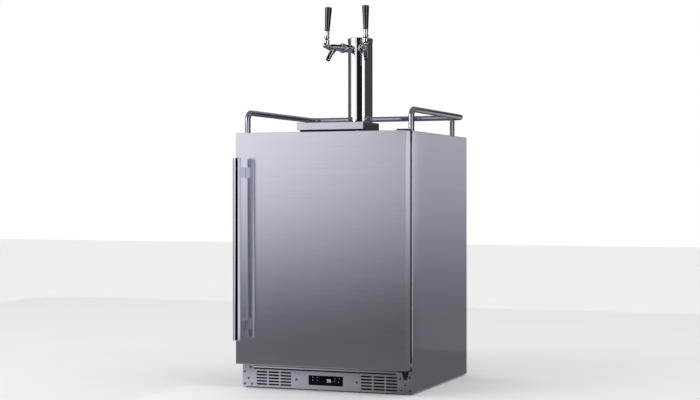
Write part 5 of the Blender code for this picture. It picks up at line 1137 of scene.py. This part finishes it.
def gauge_dials():
    """A white face with ticks, a needle and a bright rim on each of the regulator's gauges."""
    face, ticks, rims = bmesh.new(), bmesh.new(), bmesh.new()
    front = 0.25095
    for x, z, needle in ((-0.121, 0.6246, 35), (-0.068, 0.5716, -40)):
        peg(face, (x, front, z), (x, front - 0.0006, z), 0.0178, 48)
        rim = [(0.0176, 0.0), (0.0210, 0.0), (0.0210, 0.0022), (0.0176, 0.0022), (0.0176, 0.0)]
        rim = rounded(rim, 0.0006)
        turn_profile(rims, rim[:-1], aim((x, front, z), (0, -1, 0)), 48, closed=True)
        place = Matrix.Translation((x, front - 0.0007, z)) @ Matrix.Rotation(math.radians(90), 4, "X")
        for i in range(21):
            turn = math.radians(225 - 13.5 * i)
            inner = 0.0125 if i % 5 == 0 else 0.0142
            spoke(ticks, place, turn, inner, 0.0160, 0.0004)
        spoke(ticks, place, math.radians(90 + needle), -0.0040, 0.0130, 0.0005)
        peg(ticks, (x, front - 0.0006, z), (x, front - 0.0014, z), 0.0016, 20)
    finish_piece("gauge_faces", face, "white_plastic", "cabinet")
    finish_piece("gauge_ticks", ticks, "black_plastic", "cabinet", smooth=False)
    finish_piece("gauge_rims", rims, "chrome", "cabinet")


def spoke(shape, place, turn, inner, outer, half):
    """A thin flat stroke between two distances from a dial's middle."""
    along = Vector((math.cos(turn), math.sin(turn), 0))
    across = Vector((-along.y, along.x, 0)) * half
    near, far = along * inner, along * outer
    corners = [near - across, far - across, far + across, near + across]
    low = [shape.verts.new(place @ c) for c in corners]
    high = [shape.verts.new(place @ (c + Vector((0, 0, 0.00015)))) for c in corners]
    shape.faces.new(low[::-1])
    shape.faces.new(high)
    band(shape, low, high)


small_fixings()
crossbar_bead()
door_gap_shadow_strips()
display_figures()
gas_cylinder()
gauge_dials()
guard_rail()
door_handle()
tower()
for name, side in SIDES:
    tap_shank(name, side)
    coupling_nut(name, side)
    faucet(name, side)
    tap_lever(name, side)

# Things that mirror these cards as black, for the dark bands that the photo shows on them
HANDLE_BAR, RAIL = bpy.data.objects["door_handle_bar"], bpy.data.objects["guard_rail_tube"]
TOWER_NAMES = ("faucet_", "tap_", "coupling_", "tower_")
TOWER = [thing for thing in bpy.data.objects if thing.name.startswith(TOWER_NAMES)]
for card in ("door_card", "door_edge_card", "near_right"):
    unlit(card, [HANDLE_BAR] + TOWER)
for card in ("door_card_left", "light_right", "light_left", "strip_left_low", "ceiling_card"):
    unlit(card, TOWER)
unlit("edge_card", [RAIL, NODES["drip_tray"]] + TOWER)
unlit("side_card", [NODES["drip_tray"]] + TOWER)
unlit("floor_card_plate", [NODES["display_window"]])

bpy.context.scene.view_settings.view_transform = "Standard"
